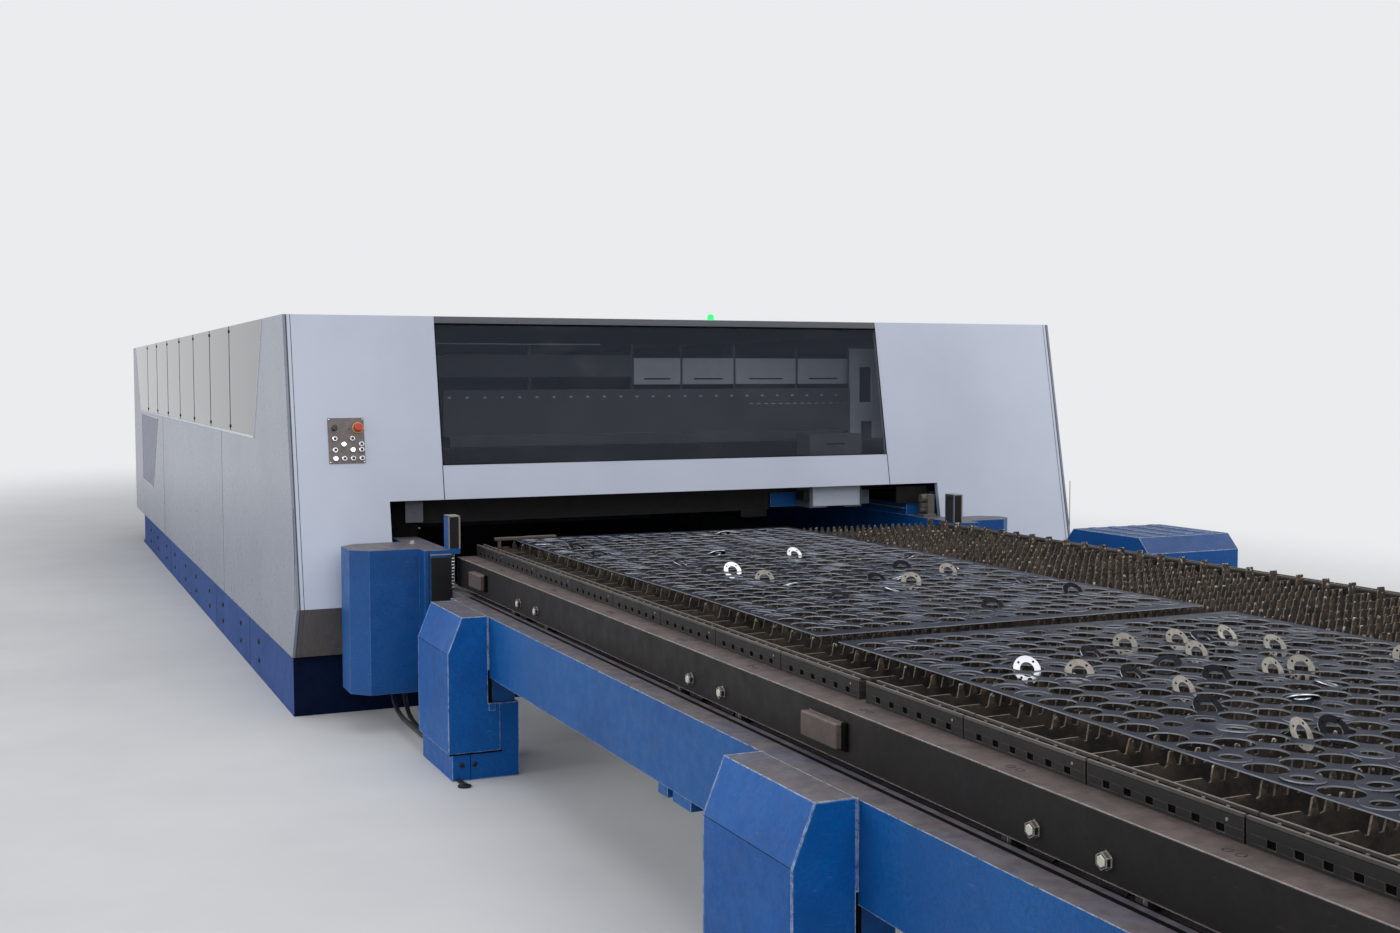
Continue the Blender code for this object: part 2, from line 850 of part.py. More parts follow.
def wheels(look):
    """The pallet's flanged wheels, each on its own pin."""
    half = wheel_width / 2
    rim = wheel_radius - wheel_flange
    profile = [(pin_radius + pin_gap, -half), (wheel_radius, -half), (wheel_radius, half - wheel_flange),
               (rim, half), (pin_radius + pin_gap, half)]
    for side, word in ((-1, "left"), (1, "right")):
        for index, spot in enumerate(axle_places()):
            made = place(f"wheel_{word}_{index + 1}", ring_body(profile, 12), look)
            made.location = (table_x(wheel_x, side), spot, axle_z)
            made.rotation_euler = (0, -side * math.pi / 2, 0)
            made.data.shade_smooth()
            made.data.set_sharp_from_angle(angle=math.radians(40))


def slat_outline():
    """A slat's outline in X and Z: ears on the holder strips, a deep middle and a row of saw teeth."""
    strip_inner = strip_x - strip_width
    deep = pallet_half - flange - wheel_gap
    end = strip_x - ear_length
    pitch = 2 * strip_inner / slat_teeth
    ear_low = pallet_top + ear_rise
    ear = strip_top - ear_drop
    points = [(table_x(deep, 1), cross_top + gap), (table_x(deep, 1), ear_low),
              (table_x(end, 1), ear_low), (table_x(end, 1), ear)]
    for tooth in range(slat_teeth):
        points.append((table_x(strip_inner - (tooth + 0.5) * pitch, 1), slat_tip))
        points.append((table_x(strip_inner - (tooth + 1) * pitch, 1), slat_valley))
    points[-1] = (table_x(end, -1), ear)
    points += [(table_x(end, -1), ear_low), (table_x(deep, -1), ear_low),
               (table_x(deep, -1), cross_top + gap)]
    return points


def slat_bank(name, low, high, look):
    """Half of the pallet's slats, standing in notched holder strips on both side beams."""
    strips = []
    notches = []
    count = int((high - low - slat_pitch / 2) / slat_pitch)
    first = (low + high - count * slat_pitch) / 2
    spots = [first + step * slat_pitch for step in range(count + 1)]
    for side in (-1, 1):
        outer = table_x(strip_x, side)
        inner = table_x(strip_x - strip_width, side)
        lip = (strip_width - strip_groove) / 2
        groove_out = table_x(strip_x - lip, side)
        groove_in = table_x(strip_x - strip_width + lip, side)
        deep = strip_top - strip_groove_depth
        outline = [(outer, pallet_top + gap), (outer, strip_top), (groove_out, strip_top), (groove_out, deep),
                   (groove_in, deep), (groove_in, strip_top), (inner, strip_top), (inner, pallet_top + gap)]
        strips.append(prism(outline, "y", low, high))
        for spot in spots:
            reach = table_x(strip_x - ear_length / 2, side)
            edge = table_x(strip_x + overrun, side)
            notches.append(box((min(reach, edge), spot - notch / 2, pallet_top - overrun),
                               (max(reach, edge), spot + notch / 2, pallet_top + gap + notch)))
    strips = cut(gathered(strips), notches)
    outline = slat_outline()
    slats = [prism(outline, "y", spot - slat_thickness / 2, spot + slat_thickness / 2) for spot in spots]
    return place(name, combine(strips, gathered(slats), "UNION"), look)


def slat_banks(look):
    """The two slat banks, one on each half of the pallet."""
    middle = (pallet_rear_y + pallet_front_y) / 2
    slat_bank("slat_bank_rear", middle + strip_break / 2, pallet_rear_y, look)
    slat_bank("slat_bank_front", pallet_front_y, middle - strip_break / 2, look)


def sheets(look):
    """The two cut sheets that lie on the slats, with their largest holes."""
    left = table_offset - pallet_half + sheet_inset
    low_z = slat_tip + gap
    high_y = pallet_rear_y - sheet_back
    for name, back in (("cut_sheet_rear", high_y), ("cut_sheet_front", high_y - sheet_length - sheet_spacing)):
        plate = box((left, back - sheet_length, low_z), (left + sheet_width, back, low_z + sheet_thickness))
        holes = []
        for column in range(sheet_columns):
            for row in range(sheet_rows):
                across = sheet_margin + column * (sheet_width - 2 * sheet_margin) / (sheet_columns - 1)
                along = sheet_margin + row * (sheet_length - 2 * sheet_margin) / (sheet_rows - 1)
                hole = turned([(sheet_hole / 2, low_z - overrun), (sheet_hole / 2, low_z + overrun)], 8)
                holes.append(moved(hole, Matrix.Translation((left + across, back - along, 0))))
        place(name, cut(plate, holes), look)


def gantry(look):
    """The gantry beam with its cable trough and the trucks that stand on the girders' rails."""
    rail_middle = box_inner + girder_width / 2
    low_y, high_y = gantry_front, gantry_front + gantry_depth
    rail_z = girder_top + rail_height + slide_gap
    half = rail_middle + rail_width
    pieces = [box((table_x(half, -1), low_y, gantry_bottom),
                  (table_x(half, 1), high_y, gantry_bottom + gantry_height))]
    trough_left = table_x(box_inner - trough_start, -1)
    pieces.append(box((trough_left, low_y, trough_bottom),
                      (trough_left + trough_length, high_y - overrun, gantry_bottom + overrun)))
    for side in (-1, 1):
        middle = table_x(rail_middle, side)
        truck = box((middle - rail_width, high_y - truck_length + overrun, rail_z),
                    (middle + rail_width, high_y + overrun, gantry_bottom + gantry_height / 2))
        pieces.append(truck)
    return place("gantry", fused(pieces), look)


def carriage(look):
    """The carriage on the gantry's front, an open-fronted housing round the cutting head."""
    middle = table_offset + carriage_offset
    low_y = carriage_back - carriage_depth
    low_z, high_z = carriage_bottom, carriage_bottom + carriage_height
    outer = box((middle - carriage_width / 2, low_y, low_z),
                (middle + carriage_width / 2, carriage_back, high_z))
    slot_back = carriage_back - carriage_depth / 4
    slot = box((middle - head_width / 2 - slide_gap, low_y - overrun, low_z - overrun),
               (middle + head_width / 2 + slide_gap, slot_back, high_z - carriage_roof))
    return place("carriage", cut(outer, [slot]), look)


def cutting_head(look):
    """The cutting head, a block on its slide with a barrel and a nozzle below."""
    middle = table_offset + carriage_offset
    back = carriage_back - carriage_depth / 4 - slide_gap
    front = carriage_back - carriage_depth + slide_gap
    low = head_tip + head_neck
    block = box((middle - head_width / 2, front, low), (middle + head_width / 2, back, head_tip + head_height))
    barrel = turned([(nozzle_radius, head_tip), (barrel_radius, head_tip + head_neck / 2),
                     (barrel_radius, low + overrun)], 12)
    barrel = moved(barrel, Matrix.Translation((middle, (front + back) / 2, 0)))
    return place("cutting_head", fused([block, barrel]), look)


def cables(look):
    """The two leads that run from the left housing's underside to the nearest lift column."""
    start_y = front_y - (housing_front + housing_back) / 2
    start_x = table_x(box_inner + box_width + cable_inset, -1)
    end_y = column_y(columns_a_side - 1) + column_length + cable_gap
    for index in range(2):
        x = start_x - index * cable_spacing
        drop = housing_bottom * cable_drop_shares[index]
        route = [Vector((x, start_y + (end_y - start_y) * along, housing_bottom - cable_gap - drop * down))
                 for along, down in cable_route_shares]
        curve = bpy.data.curves.new(f"housing_cable_{index + 1}", "CURVE")
        curve.dimensions = "3D"
        curve.bevel_depth = cable_radius
        curve.bevel_resolution = 2
        curve.use_fill_caps = True
        points = smooth_points(route, 2)
        spline = curve.splines.new("POLY")
        spline.points.add(len(points) - 1)
        for point, spot in zip(spline.points, points):
            point.co = (*spot, 1.0)
        made = bpy.data.objects.new(f"housing_cable_{index + 1}", curve)
        curve.materials.append(look)
        bpy.context.scene.collection.objects.link(made)


def smooth_points(route, count):
    """Points along the smooth curve through a route."""
    ends = [2 * route[0] - route[1], *route, 2 * route[-1] - route[-2]]
    points = []
    for before, start, end, after in zip(ends, ends[1:], ends[2:], ends[3:]):
        for step in range(count):
            t = step / count
            points.append(0.5 * (2 * start + (end - before) * t
                                 + (2 * before - 5 * start + 4 * end - after) * t ** 2
                                 + (3 * start - before - 3 * end + after) * t ** 3))
    return [*points, route[-1]]


def main():
    clear_scene()
    looks = {"navy": material("navy_paint", (0.02, 0.05, 0.16), 0.5, 0.0),
             "blue": material("blue_paint", (0.05, 0.16, 0.42), 0.45, 0.0),
             "white": material("white_paint", (0.62, 0.66, 0.72), 0.35, 0.0),
             "grey": material("grey_paint", (0.30, 0.31, 0.33), 0.5, 0.0),
             "glass": material("tinted_glass", (0.03, 0.04, 0.05), 0.08, 0.0),
             "black": material("black_steel", (0.03, 0.028, 0.028), 0.5, 0.6),
             "slat": material("rusted_slats", (0.06, 0.045, 0.035), 0.7, 0.5),
             "sheet": material("cut_sheet", (0.07, 0.075, 0.08), 0.4, 0.9),
             "chrome": material("chrome", (0.75, 0.75, 0.77), 0.15, 1.0),
             "red": material("red_plastic", (0.65, 0.05, 0.03), 0.4, 0.0),
             "rubber": material("black_rubber", (0.02, 0.02, 0.02), 0.7, 0.0)}
    plinth(looks["navy"])
    bed(looks["blue"])
    front_panels(looks["white"])
    front_centre(looks)
    side_walls(looks)
    roof(looks["white"])
    controls(looks)
    for side in (-1, 1):
        mouth_gear(side, looks["blue"])
        for index in range(columns_a_side):
            lift_column(index, side, looks["blue"])
    lift_frame(looks["blue"])
    inner_track(looks["grey"])
    pallet_frame(looks["black"])
    wheels(looks["black"])
    slat_banks(looks["slat"])
    sheets(looks["sheet"])
    gantry(looks["black"])
    carriage(looks["grey"])
    cutting_head(looks["grey"])
    cables(looks["rubber"])


main()
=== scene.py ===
import math
import random

import bmesh
import bpy
from mathutils import Euler, Matrix, Vector


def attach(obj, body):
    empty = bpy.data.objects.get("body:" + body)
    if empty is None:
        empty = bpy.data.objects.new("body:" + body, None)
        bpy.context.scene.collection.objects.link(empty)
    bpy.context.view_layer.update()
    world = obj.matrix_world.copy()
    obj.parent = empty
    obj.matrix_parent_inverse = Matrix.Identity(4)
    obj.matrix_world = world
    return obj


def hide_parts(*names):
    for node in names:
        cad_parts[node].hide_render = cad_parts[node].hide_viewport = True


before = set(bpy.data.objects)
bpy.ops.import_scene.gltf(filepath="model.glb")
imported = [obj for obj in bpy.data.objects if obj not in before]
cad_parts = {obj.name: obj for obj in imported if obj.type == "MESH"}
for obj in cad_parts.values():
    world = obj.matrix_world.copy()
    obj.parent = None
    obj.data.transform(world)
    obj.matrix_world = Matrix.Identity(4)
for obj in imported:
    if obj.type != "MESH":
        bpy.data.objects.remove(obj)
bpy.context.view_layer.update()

# Places of the CAD model that the pieces sit on, in metres
TABLE_X = -0.202
TABLE_FRONT = -8.525
FRONT_Y = -1.015
SIDE_X = 2.19
BEAM_BACK = -1.725
PALLET_REAR = -1.425
PALLET_FRONT = -8.405
PALLET_HALF = 1.34
PALLET_TOP = 0.79
WALL_BREAK = 0.531
SKIRT_BOTTOM = 0.288
SKIRT_LEAN = 0.14 / (WALL_BREAK - SKIRT_BOTTOM)
ROOF = 1.90
LEAN = 0.27 / (ROOF - WALL_BREAK)
MOUTH_TOP = 1.011
WINDOW_LEFT, WINDOW_RIGHT = -1.4645, 1.0235
WINDOW_LOW, WINDOW_HIGH = 1.175, 1.86
SIDE_SILL, SIDE_SILL_FRONT, SIDE_SILL_BACK = 1.29, 0.225, 7.795
COLUMN_Y = (-8.19, -5.25, -2.31)
COLUMN_LENGTH = 0.475
HOOD_IN, HOOD_OUT, HOOD_TOP, HOOD_SHOULDER, HOOD_LOW, HOOD_CHAMFER = 1.461, 1.623, 0.653, 0.51, 0.11, 0.058
DRIVE_IN, DRIVE_WIDTH, DRIVE_TOP = 1.769, 0.553, 0.825
AXLE_Z = 0.7003
AXLES = [PALLET_REAR - 1.04 - 1.70 * bogie + side * 0.111 for bogie in range(4) for side in (1, -1)]
GANTRY_LOW = 1.2475

# The slats, the strips that hold them and the sheets on them
SLAT_PITCH, SLAT_HALF_THICK, SLAT_FOOT, STRIP_JOG = 0.125, 0.0025, 0.7415, 0.79
TOOTH_PITCH, TOOTH_TIP, TOOTH_VALLEY, TOOTH_HALF = 0.0338, 0.8548, 0.824, 0.0112
TEETH_LEFT, TEETH_RIGHT = -1.3025, 0.905
STRIP_OUT, STRIP_IN, STRIP_LENGTHS, STRIP_GAP = 1.250, 1.214, 8, 0.0035
NOTCH_PITCH, NOTCH_HALF, NOTCH_LOW, NOTCH_HIGH = 0.0625, 0.0112, 0.7978, 0.8132
HOLE_PITCH, HOLE_RADIUS, HOLE_SIDES, HOLE_COLUMNS, HOLE_ROWS = 0.0915, 0.043, 24, 15, 31
SHEET_LEFT, SHEET_WIDTH, SHEET_LENGTH, SHEET_Z, SHEET_THICK = -1.287, 1.41, 2.93, 0.8583, 0.003


def srgb(red, green, blue):
    """A colour written in 0 to 255 sRGB steps, as linear values."""
    out = []
    for value in (red, green, blue):
        share = value / 255
        out.append(share / 12.92 if share <= 0.04045 else ((share + 0.055) / 1.055) ** 2.4)
    return (*out, 1.0)


def darker(colour, share):
    return (*(min(share * c, 1.0) for c in colour[:3]), 1.0)


class Nodes:
    """Short calls for building a node tree."""

    def __init__(self, tree):
        self.tree = tree

    def put(self, socket, value):
        """Links an input to a socket, or sets it to a value."""
        if isinstance(value, bpy.types.NodeSocket):
            self.tree.links.new(value, socket)
        else:
            socket.default_value = value

    def node(self, kind, inputs=None, **settings):
        made = self.tree.nodes.new(kind)
        for key, value in settings.items():
            setattr(made, key, value)
        for key, value in (inputs or {}).items():
            self.put(made.inputs[key], value)
        return made

    def math(self, operation, first, second=0.0, third=0.0):
        return self.node("ShaderNodeMath", {0: first, 1: second, 2: third}, operation=operation).outputs[0]

    def times(self, first, second):
        return self.math("MULTIPLY", first, second)

    def seen(self):
        """1 for what the camera, mirrors and glass see, 0 for light."""
        path = self.node("ShaderNodeLightPath").outputs
        eye = self.math("MAXIMUM", path["Is Camera Ray"], path["Is Glossy Ray"])
        return self.math("MAXIMUM", eye, path["Is Transmission Ray"])


class Graph(Nodes):
    """A material, with short calls for its textures."""

    def __init__(self, name):
        self.material = bpy.data.materials.new(name)
        self.material.use_nodes = True
        super().__init__(self.material.node_tree)
        self.shader = self.tree.nodes["Principled BSDF"]
        self.coord = self.node("ShaderNodeTexCoord").outputs["Object"]

    def noise(self, scale, detail=4.0, rough=0.6, stretch=None):
        source = self.coord
        if stretch:
            source = self.node("ShaderNodeMapping", {"Vector": source, "Scale": stretch}).outputs[0]
        inputs = {"Vector": source, "Scale": scale, "Detail": detail, "Roughness": rough}
        return self.node("ShaderNodeTexNoise", inputs).outputs["Fac"]

    def ramp(self, value, low, high, out_low=0.0, out_high=1.0):
        inputs = {"Value": value, "From Min": low, "From Max": high, "To Min": out_low, "To Max": out_high}
        return self.node("ShaderNodeMapRange", inputs, interpolation_type="SMOOTHSTEP").outputs["Result"]

    def mix(self, factor, first, second):
        return self.node("ShaderNodeMix", {0: factor, 6: first, 7: second}, data_type="RGBA").outputs[2]

    def axis(self, index, source=None):
        return self.node("ShaderNodeSeparateXYZ", {"Vector": source or self.coord}).outputs[index]

    def normal(self):
        return self.node("ShaderNodeNewGeometry").outputs["Normal"]

    def rounded(self, radius):
        return self.node("ShaderNodeBevel", {"Radius": radius}, samples=4).outputs[0]

    def edges(self, radius):
        """1 along sharp edges and 0 elsewhere."""
        inputs = {0: self.rounded(radius), 1: self.normal()}
        match = self.node("ShaderNodeVectorMath", inputs, operation="DOT_PRODUCT").outputs["Value"]
        return self.ramp(match, 0.985, 0.90)

    def between(self, index, low, high):
        """1 where a coordinate lies between two values."""
        place = self.axis(index)
        return self.times(self.math("GREATER_THAN", place, low), self.math("LESS_THAN", place, high))

    def set(self, **values):
        for key, value in values.items():
            self.put(self.shader.inputs[key.replace("_", " ")], value)

    def bump(self, height, strength, distance, radius=0.0):
        inputs = {"Height": height, "Strength": strength, "Distance": distance}
        if radius:
            inputs["Normal"] = self.rounded(radius)
        self.set(Normal=self.node("ShaderNodeBump", inputs).outputs[0])


def painted(name, colour, shade, dust=None, cover=0.0, wear=None, radius=0.003, grime=0.5, rough=(0.45, 0.65),
            coat=0.0, scratch=None, sides=0.0, gloss=0.4, least=0.25, grain=(0.82, 1.14), side_sheen=None,
            relief=0.18, chip=None):
    """Paint with slow colour changes, grime, scratches, dust on what faces up or sideways, worn edges, and a
    painted sheen on faces that look along X where asked.
    """
    g = Graph(name)
    slow = g.noise(1.7, 5.0)
    fine = g.noise(90.0, 5.0, 0.75)
    paint = g.mix(g.ramp(slow, 0.35, 0.7), srgb(*colour), srgb(*shade))
    specks = g.ramp(g.times(g.noise(9.0, 8.0, 0.7), fine), 0.26, 0.42)
    paint = g.mix(g.times(specks, grime), paint, darker(srgb(*shade), 0.45))
    speckle = g.ramp(fine, 0.35, 0.65, *grain)
    paint = g.node("ShaderNodeVectorMath", {0: paint, 1: speckle}, operation="MULTIPLY").outputs[0]
    if scratch:
        lines = g.ramp(g.noise(14.0, 6.0, 0.75, (1.0, 1.0, 7.0)), 0.63, 0.70)
        across = g.ramp(g.noise(11.0, 7.0, 0.8, (5.0, 5.0, 1.0)), 0.65, 0.73)
        paint = g.mix(g.times(g.math("MAXIMUM", lines, across), 0.45), paint, srgb(*scratch))
    if dust:
        dust = srgb(*dust)
        up = g.ramp(g.axis(2, g.normal()), 0.45, 0.85)
        layer = g.times(up, g.ramp(g.noise(5.0, 8.0, 0.7), 0.2, 0.6, cover * 0.7, cover))
        if sides:
            layer = g.math("MAXIMUM", layer, g.ramp(g.noise(2.3, 6.0, 0.65), 0.5, 0.8, 0.0, sides))
        grey = g.mix(g.ramp(g.noise(22.0, 6.0), 0.35, 0.65), dust, darker(dust, 0.66))
        streaks = g.ramp(g.noise(16.0, 7.0, 0.8, (4.0, 0.7, 1.0)), 0.60, 0.70)
        grey = g.mix(g.times(streaks, 0.35), grey, darker(dust, 1.5))
        paint = g.mix(layer, paint, grey)
    # Painted sheen: faces that look along X get a lighter colour that stands in for the light they reflect.
    if side_sheen:
        sideways = g.ramp(g.math("ABSOLUTE", g.axis(0, g.normal())), 0.6, 0.8)
        layer = g.times(sideways, g.ramp(g.noise(3.0, 7.0, 0.7), 0.3, 0.7, 0.75, 1.0))
        paint = g.mix(layer, paint, srgb(*side_sheen))
    if wear:
        wear = srgb(*wear)
        edge = g.times(g.edges(radius), g.ramp(g.noise(26.0, 6.0, 0.75), 0.36, 0.56, least, 1.0))
        if chip:
            wear = g.mix(g.times(g.ramp(g.noise(34.0, 5.0, 0.8), 0.53, 0.60), 0.85), wear, srgb(*chip))
        paint = g.mix(edge, paint, wear)
    g.set(Base_Color=paint, Roughness=g.ramp(g.noise(17.0, 5.0), 0.3, 0.7, *rough), Specular_IOR_Level=gloss)
    if coat:
        g.set(Coat_Weight=coat, Coat_Roughness=0.08)
    if relief:
        g.bump(g.math("ADD", fine, g.times(slow, 2.0)), relief, 0.0006, 0.0015)
    return g.material


BACKDROP = srgb(234, 236, 238)
WHITE, WHITE_SHADE = (187, 193, 207), (179, 185, 200)
DUST, BLUE_SCRATCH, BLUE_WEAR, CHIP = (104, 95, 92), (84, 124, 176), (200, 208, 218), (60, 48, 44)

blue_look = painted("blue_paint_worn", (14, 84, 148), (8, 72, 134), DUST, 0.95, BLUE_WEAR, 0.004, 0.35,
                    (0.38, 0.55), scratch=BLUE_SCRATCH, least=0.45, gloss=0.25, chip=CHIP)
column_look = painted("blue_paint_columns", (4, 86, 158), (2, 74, 142), DUST, 0.92, BLUE_WEAR, 0.006, 0.45,
                      (0.38, 0.52), scratch=BLUE_SCRATCH, least=0.3, gloss=0.2, chip=CHIP)
housing_look = painted("blue_paint_housings", (4, 76, 140), (2, 66, 126), DUST, 0.92, (116, 148, 190), 0.003,
                       0.4, (0.38, 0.52), scratch=BLUE_SCRATCH, least=0.4)
drive_look = painted("blue_paint_drive", (16, 80, 146), (10, 70, 132), (78, 80, 88), 0.62, BLUE_WEAR, 0.006,
                     0.45, (0.5, 0.65), scratch=BLUE_SCRATCH, least=0.45, gloss=0.25)
# The lighter blue on the plinth's sides is a painted sheen.
navy_look = painted("navy_paint_scuffed", (3, 20, 50), (2, 14, 40), (74, 68, 60), 0.8, (60, 70, 96), 0.004,
                    0.5, (0.65, 0.85), scratch=(24, 42, 78), gloss=0.1, side_sheen=(60, 84, 138))
white_look = painted("white_paint_soft", (186, 192, 206), WHITE_SHADE, (168, 168, 172), 0.35, (205, 208, 214),
                     0.003, 0.10, (0.32, 0.44), coat=0.12, grain=(0.97, 1.03), relief=0.04)
# Darker than the front's white paint: painted shade on the side walls and on the gantry's end cover.
shaded_white_look = painted("white_paint_glossy_painted_shade", (134, 138, 150), (124, 129, 142), (150, 150, 152), 0.3, grime=0.0,
                    rough=(0.27, 0.30), coat=0.08, gloss=0.2, grain=(0.995, 1.005), relief=0.0)
side_panel_look = painted("panel_blue_grey", (56, 68, 104), (50, 61, 96), grime=0.0, rough=(0.27, 0.30),
                          coat=0.05, gloss=0.1, grain=(0.995, 1.005), relief=0.0)
inner_look = painted("grey_paint_inside", (88, 92, 98), (72, 76, 82), (92, 86, 82), 0.8,
                     (130, 132, 134), 0.004)
black_look = painted("black_steel_dusty", (30, 26, 26), (22, 19, 19), (98, 87, 84), 0.92, (190, 180, 174),
                     0.0055, scratch=(70, 62, 58), sides=0.10, gloss=0.2, least=0.6)
trough_look = painted("gantry_steel", (24, 22, 22), (18, 16, 16), (62, 56, 53), 0.8, (92, 86, 82), 0.003,
                      scratch=(50, 45, 42), sides=0.05, gloss=0.2)
strip_look = painted("strip_iron", (44, 41, 41), (34, 32, 32), (62, 57, 55), 0.7, (122, 114, 106), 0.002,
                     sides=0.10, gloss=0.25, least=0.4)
rim_look = painted("strip_rims", (92, 86, 80), (70, 65, 61), (104, 97, 90), 0.7, (142, 134, 124), 0.001, 0.5,
                   (0.4, 0.6), gloss=0.3)
bumper_look = painted("bumper_plate", (92, 81, 76), (76, 67, 63), (108, 98, 93), 0.7, (132, 120, 114), 0.003,
                      0.6, (0.5, 0.7), sides=0.3, gloss=0.25)
rail_look = painted("rail_steel", (46, 44, 47), (36, 34, 37), (84, 76, 72), 0.75, (120, 114, 110), 0.003, 0.5,
                    (0.4, 0.6), sides=0.10, gloss=0.3)
dark_look = painted("dark_fittings", (26, 25, 27), (20, 19, 21), (54, 50, 48), 0.5, (86, 84, 82), 0.002,
                    gloss=0.2)
# Near-black, for real seals and seams, and for painted shade in gaps, slots, notches and holes.
near_black_and_shade_look = painted("near_black_and_painted_shade", (12, 11, 12), (9, 8, 9), (20, 18, 18), 0.5, rough=(0.7, 0.9), gloss=0.05)


def panel_material():
    """The front panels: soft white paint, with the brushed grey-brown skirt below and the control plate."""
    g = Graph("front_panel_paint")
    white = g.mix(g.ramp(g.noise(1.2, 4.0), 0.35, 0.7), srgb(*WHITE), srgb(*WHITE_SHADE))
    smudge = g.ramp(g.noise(6.0, 9.0, 0.75), 0.62, 0.75)
    white = g.mix(g.times(smudge, 0.14), white, srgb(130, 134, 145))
    white = g.mix(g.ramp(g.edges(0.003), 0.0, 1.0, 0.0, 0.45), white, srgb(206, 209, 214))
    grime = g.times(g.ramp(g.noise(18.0, 8.0, 0.7), 0.45, 0.65), 0.3)
    brush = g.noise(10.0, 6.0, 0.7, (60.0, 2.0, 0.6))
    skirt = g.mix(g.ramp(brush, 0.35, 0.65), srgb(112, 106, 103), srgb(92, 87, 86))
    skirt = g.mix(g.times(grime, g.ramp(g.axis(2), 0.50, 0.36)), skirt, srgb(70, 66, 64))
    is_skirt = g.ramp(g.axis(2), WALL_BREAK + 0.0015, WALL_BREAK - 0.0015)
    plate = g.mix(g.ramp(g.noise(40.0, 5.0), 0.35, 0.65), srgb(108, 96, 94), srgb(90, 80, 79))
    on_plate = g.times(g.between(0, -2.0062, -1.8358), g.between(2, 1.1948, 1.4092))
    colour = g.mix(on_plate, g.mix(is_skirt, white, skirt), plate)
    g.set(Base_Color=colour, Roughness=g.mix(is_skirt, (0.36, 0.36, 0.36, 1), (0.5, 0.5, 0.5, 1)),
          Metallic=g.times(is_skirt, 0.55), Coat_Weight=0.12, Coat_Roughness=0.1)
    g.bump(g.math("ADD", g.noise(55.0, 3.0), g.times(brush, is_skirt)), 0.10, 0.0006, 0.0015)
    return g.material


def slat_material():
    """Burnt slats: dark scale with rust on the teeth, and light cut edges with painted glints at the tips."""
    g = Graph("slat_scale")
    face = g.mix(g.ramp(g.noise(16.0, 8.0, 0.7), 0.38, 0.62), srgb(31, 28, 26), srgb(62, 53, 45))
    rust = g.times(g.ramp(g.noise(34.0, 5.0, 0.7), 0.48, 0.60), g.ramp(g.axis(2), 0.815, 0.835))
    face = g.mix(g.times(rust, 0.7), face, srgb(98, 81, 65))
    flat = g.ramp(g.math("ABSOLUTE", g.axis(1, g.normal())), 0.75, 0.6)
    edge = g.mix(g.ramp(g.noise(70.0, 6.0, 0.75), 0.38, 0.62), srgb(62, 54, 47), srgb(114, 102, 88))
    # Painted glints: bright specks near the teeth's tips, standing in for light caught there.
    tip_glints = g.times(g.ramp(g.axis(2), 0.840, 0.853), g.ramp(g.noise(90.0, 3.0, 0.5), 0.56, 0.64))
    colour = g.mix(tip_glints, g.mix(flat, face, edge), srgb(190, 186, 178))
    g.set(Base_Color=colour, Roughness=g.ramp(g.noise(30.0), 0.3, 0.7, 0.45, 0.7), Metallic=0.2,
          Specular_IOR_Level=0.4)
    g.bump(g.noise(140.0, 6.0, 0.7), 0.5, 0.0012)
    return g.material


def sheet_material(name, first, second, rough):
    """Hot-rolled sheet with blue-grey patches, fine light streaks that are partly scratches and partly painted
    glints, and painted highlights on the cut edges.
    """
    g = Graph(name)
    tone = g.mix(g.ramp(g.noise(1.4, 6.0, 0.6), 0.35, 0.65), first, second)
    tone = g.mix(g.times(g.ramp(g.noise(28.0, 8.0, 0.7), 0.5, 0.7), 0.35), tone, darker(first, 0.55))
    # Light streaks: partly fine scratches, partly painted glints.
    glints = g.ramp(g.noise(50.0, 7.0, 0.8, (1.0, 6.0, 1.0)), 0.66, 0.75)
    tone = g.mix(g.times(glints, 0.4), tone, srgb(150, 154, 160))
    # Painted highlight: faces that do not look up or down, the cut edges of holes and sheet, are made much
    # lighter.
    edge = g.ramp(g.math("ABSOLUTE", g.axis(2, g.normal())), 0.6, 0.4)
    tone = g.mix(g.times(edge, 0.9), tone, srgb(206, 210, 218))
    g.set(Base_Color=tone, Roughness=g.ramp(g.noise(12.0), 0.3, 0.7, *rough), Metallic=0.7,
          Specular_Tint=(0.30, 0.32, 0.38, 1.0))
    g.bump(g.noise(90.0, 5.0), 0.2, 0.0008)
    return g.material


def metal(name, colour, rough, scale=80.0, shade=0.7, amount=0.5, metallic=1.0):
    """Bare or plated metal with a spangled tone."""
    g = Graph(name)
    spangle = g.times(g.ramp(g.noise(scale, 5.0), 0.35, 0.65), amount)
    g.set(Base_Color=g.mix(spangle, colour, darker(colour, shade)), Metallic=metallic,
          Roughness=g.ramp(g.noise(scale * 0.5), 0.3, 0.7, rough * 0.8, rough * 1.2))
    g.bump(g.noise(scale * 2.0, 4.0), 0.08, 0.0004, 0.0008)
    return g.material


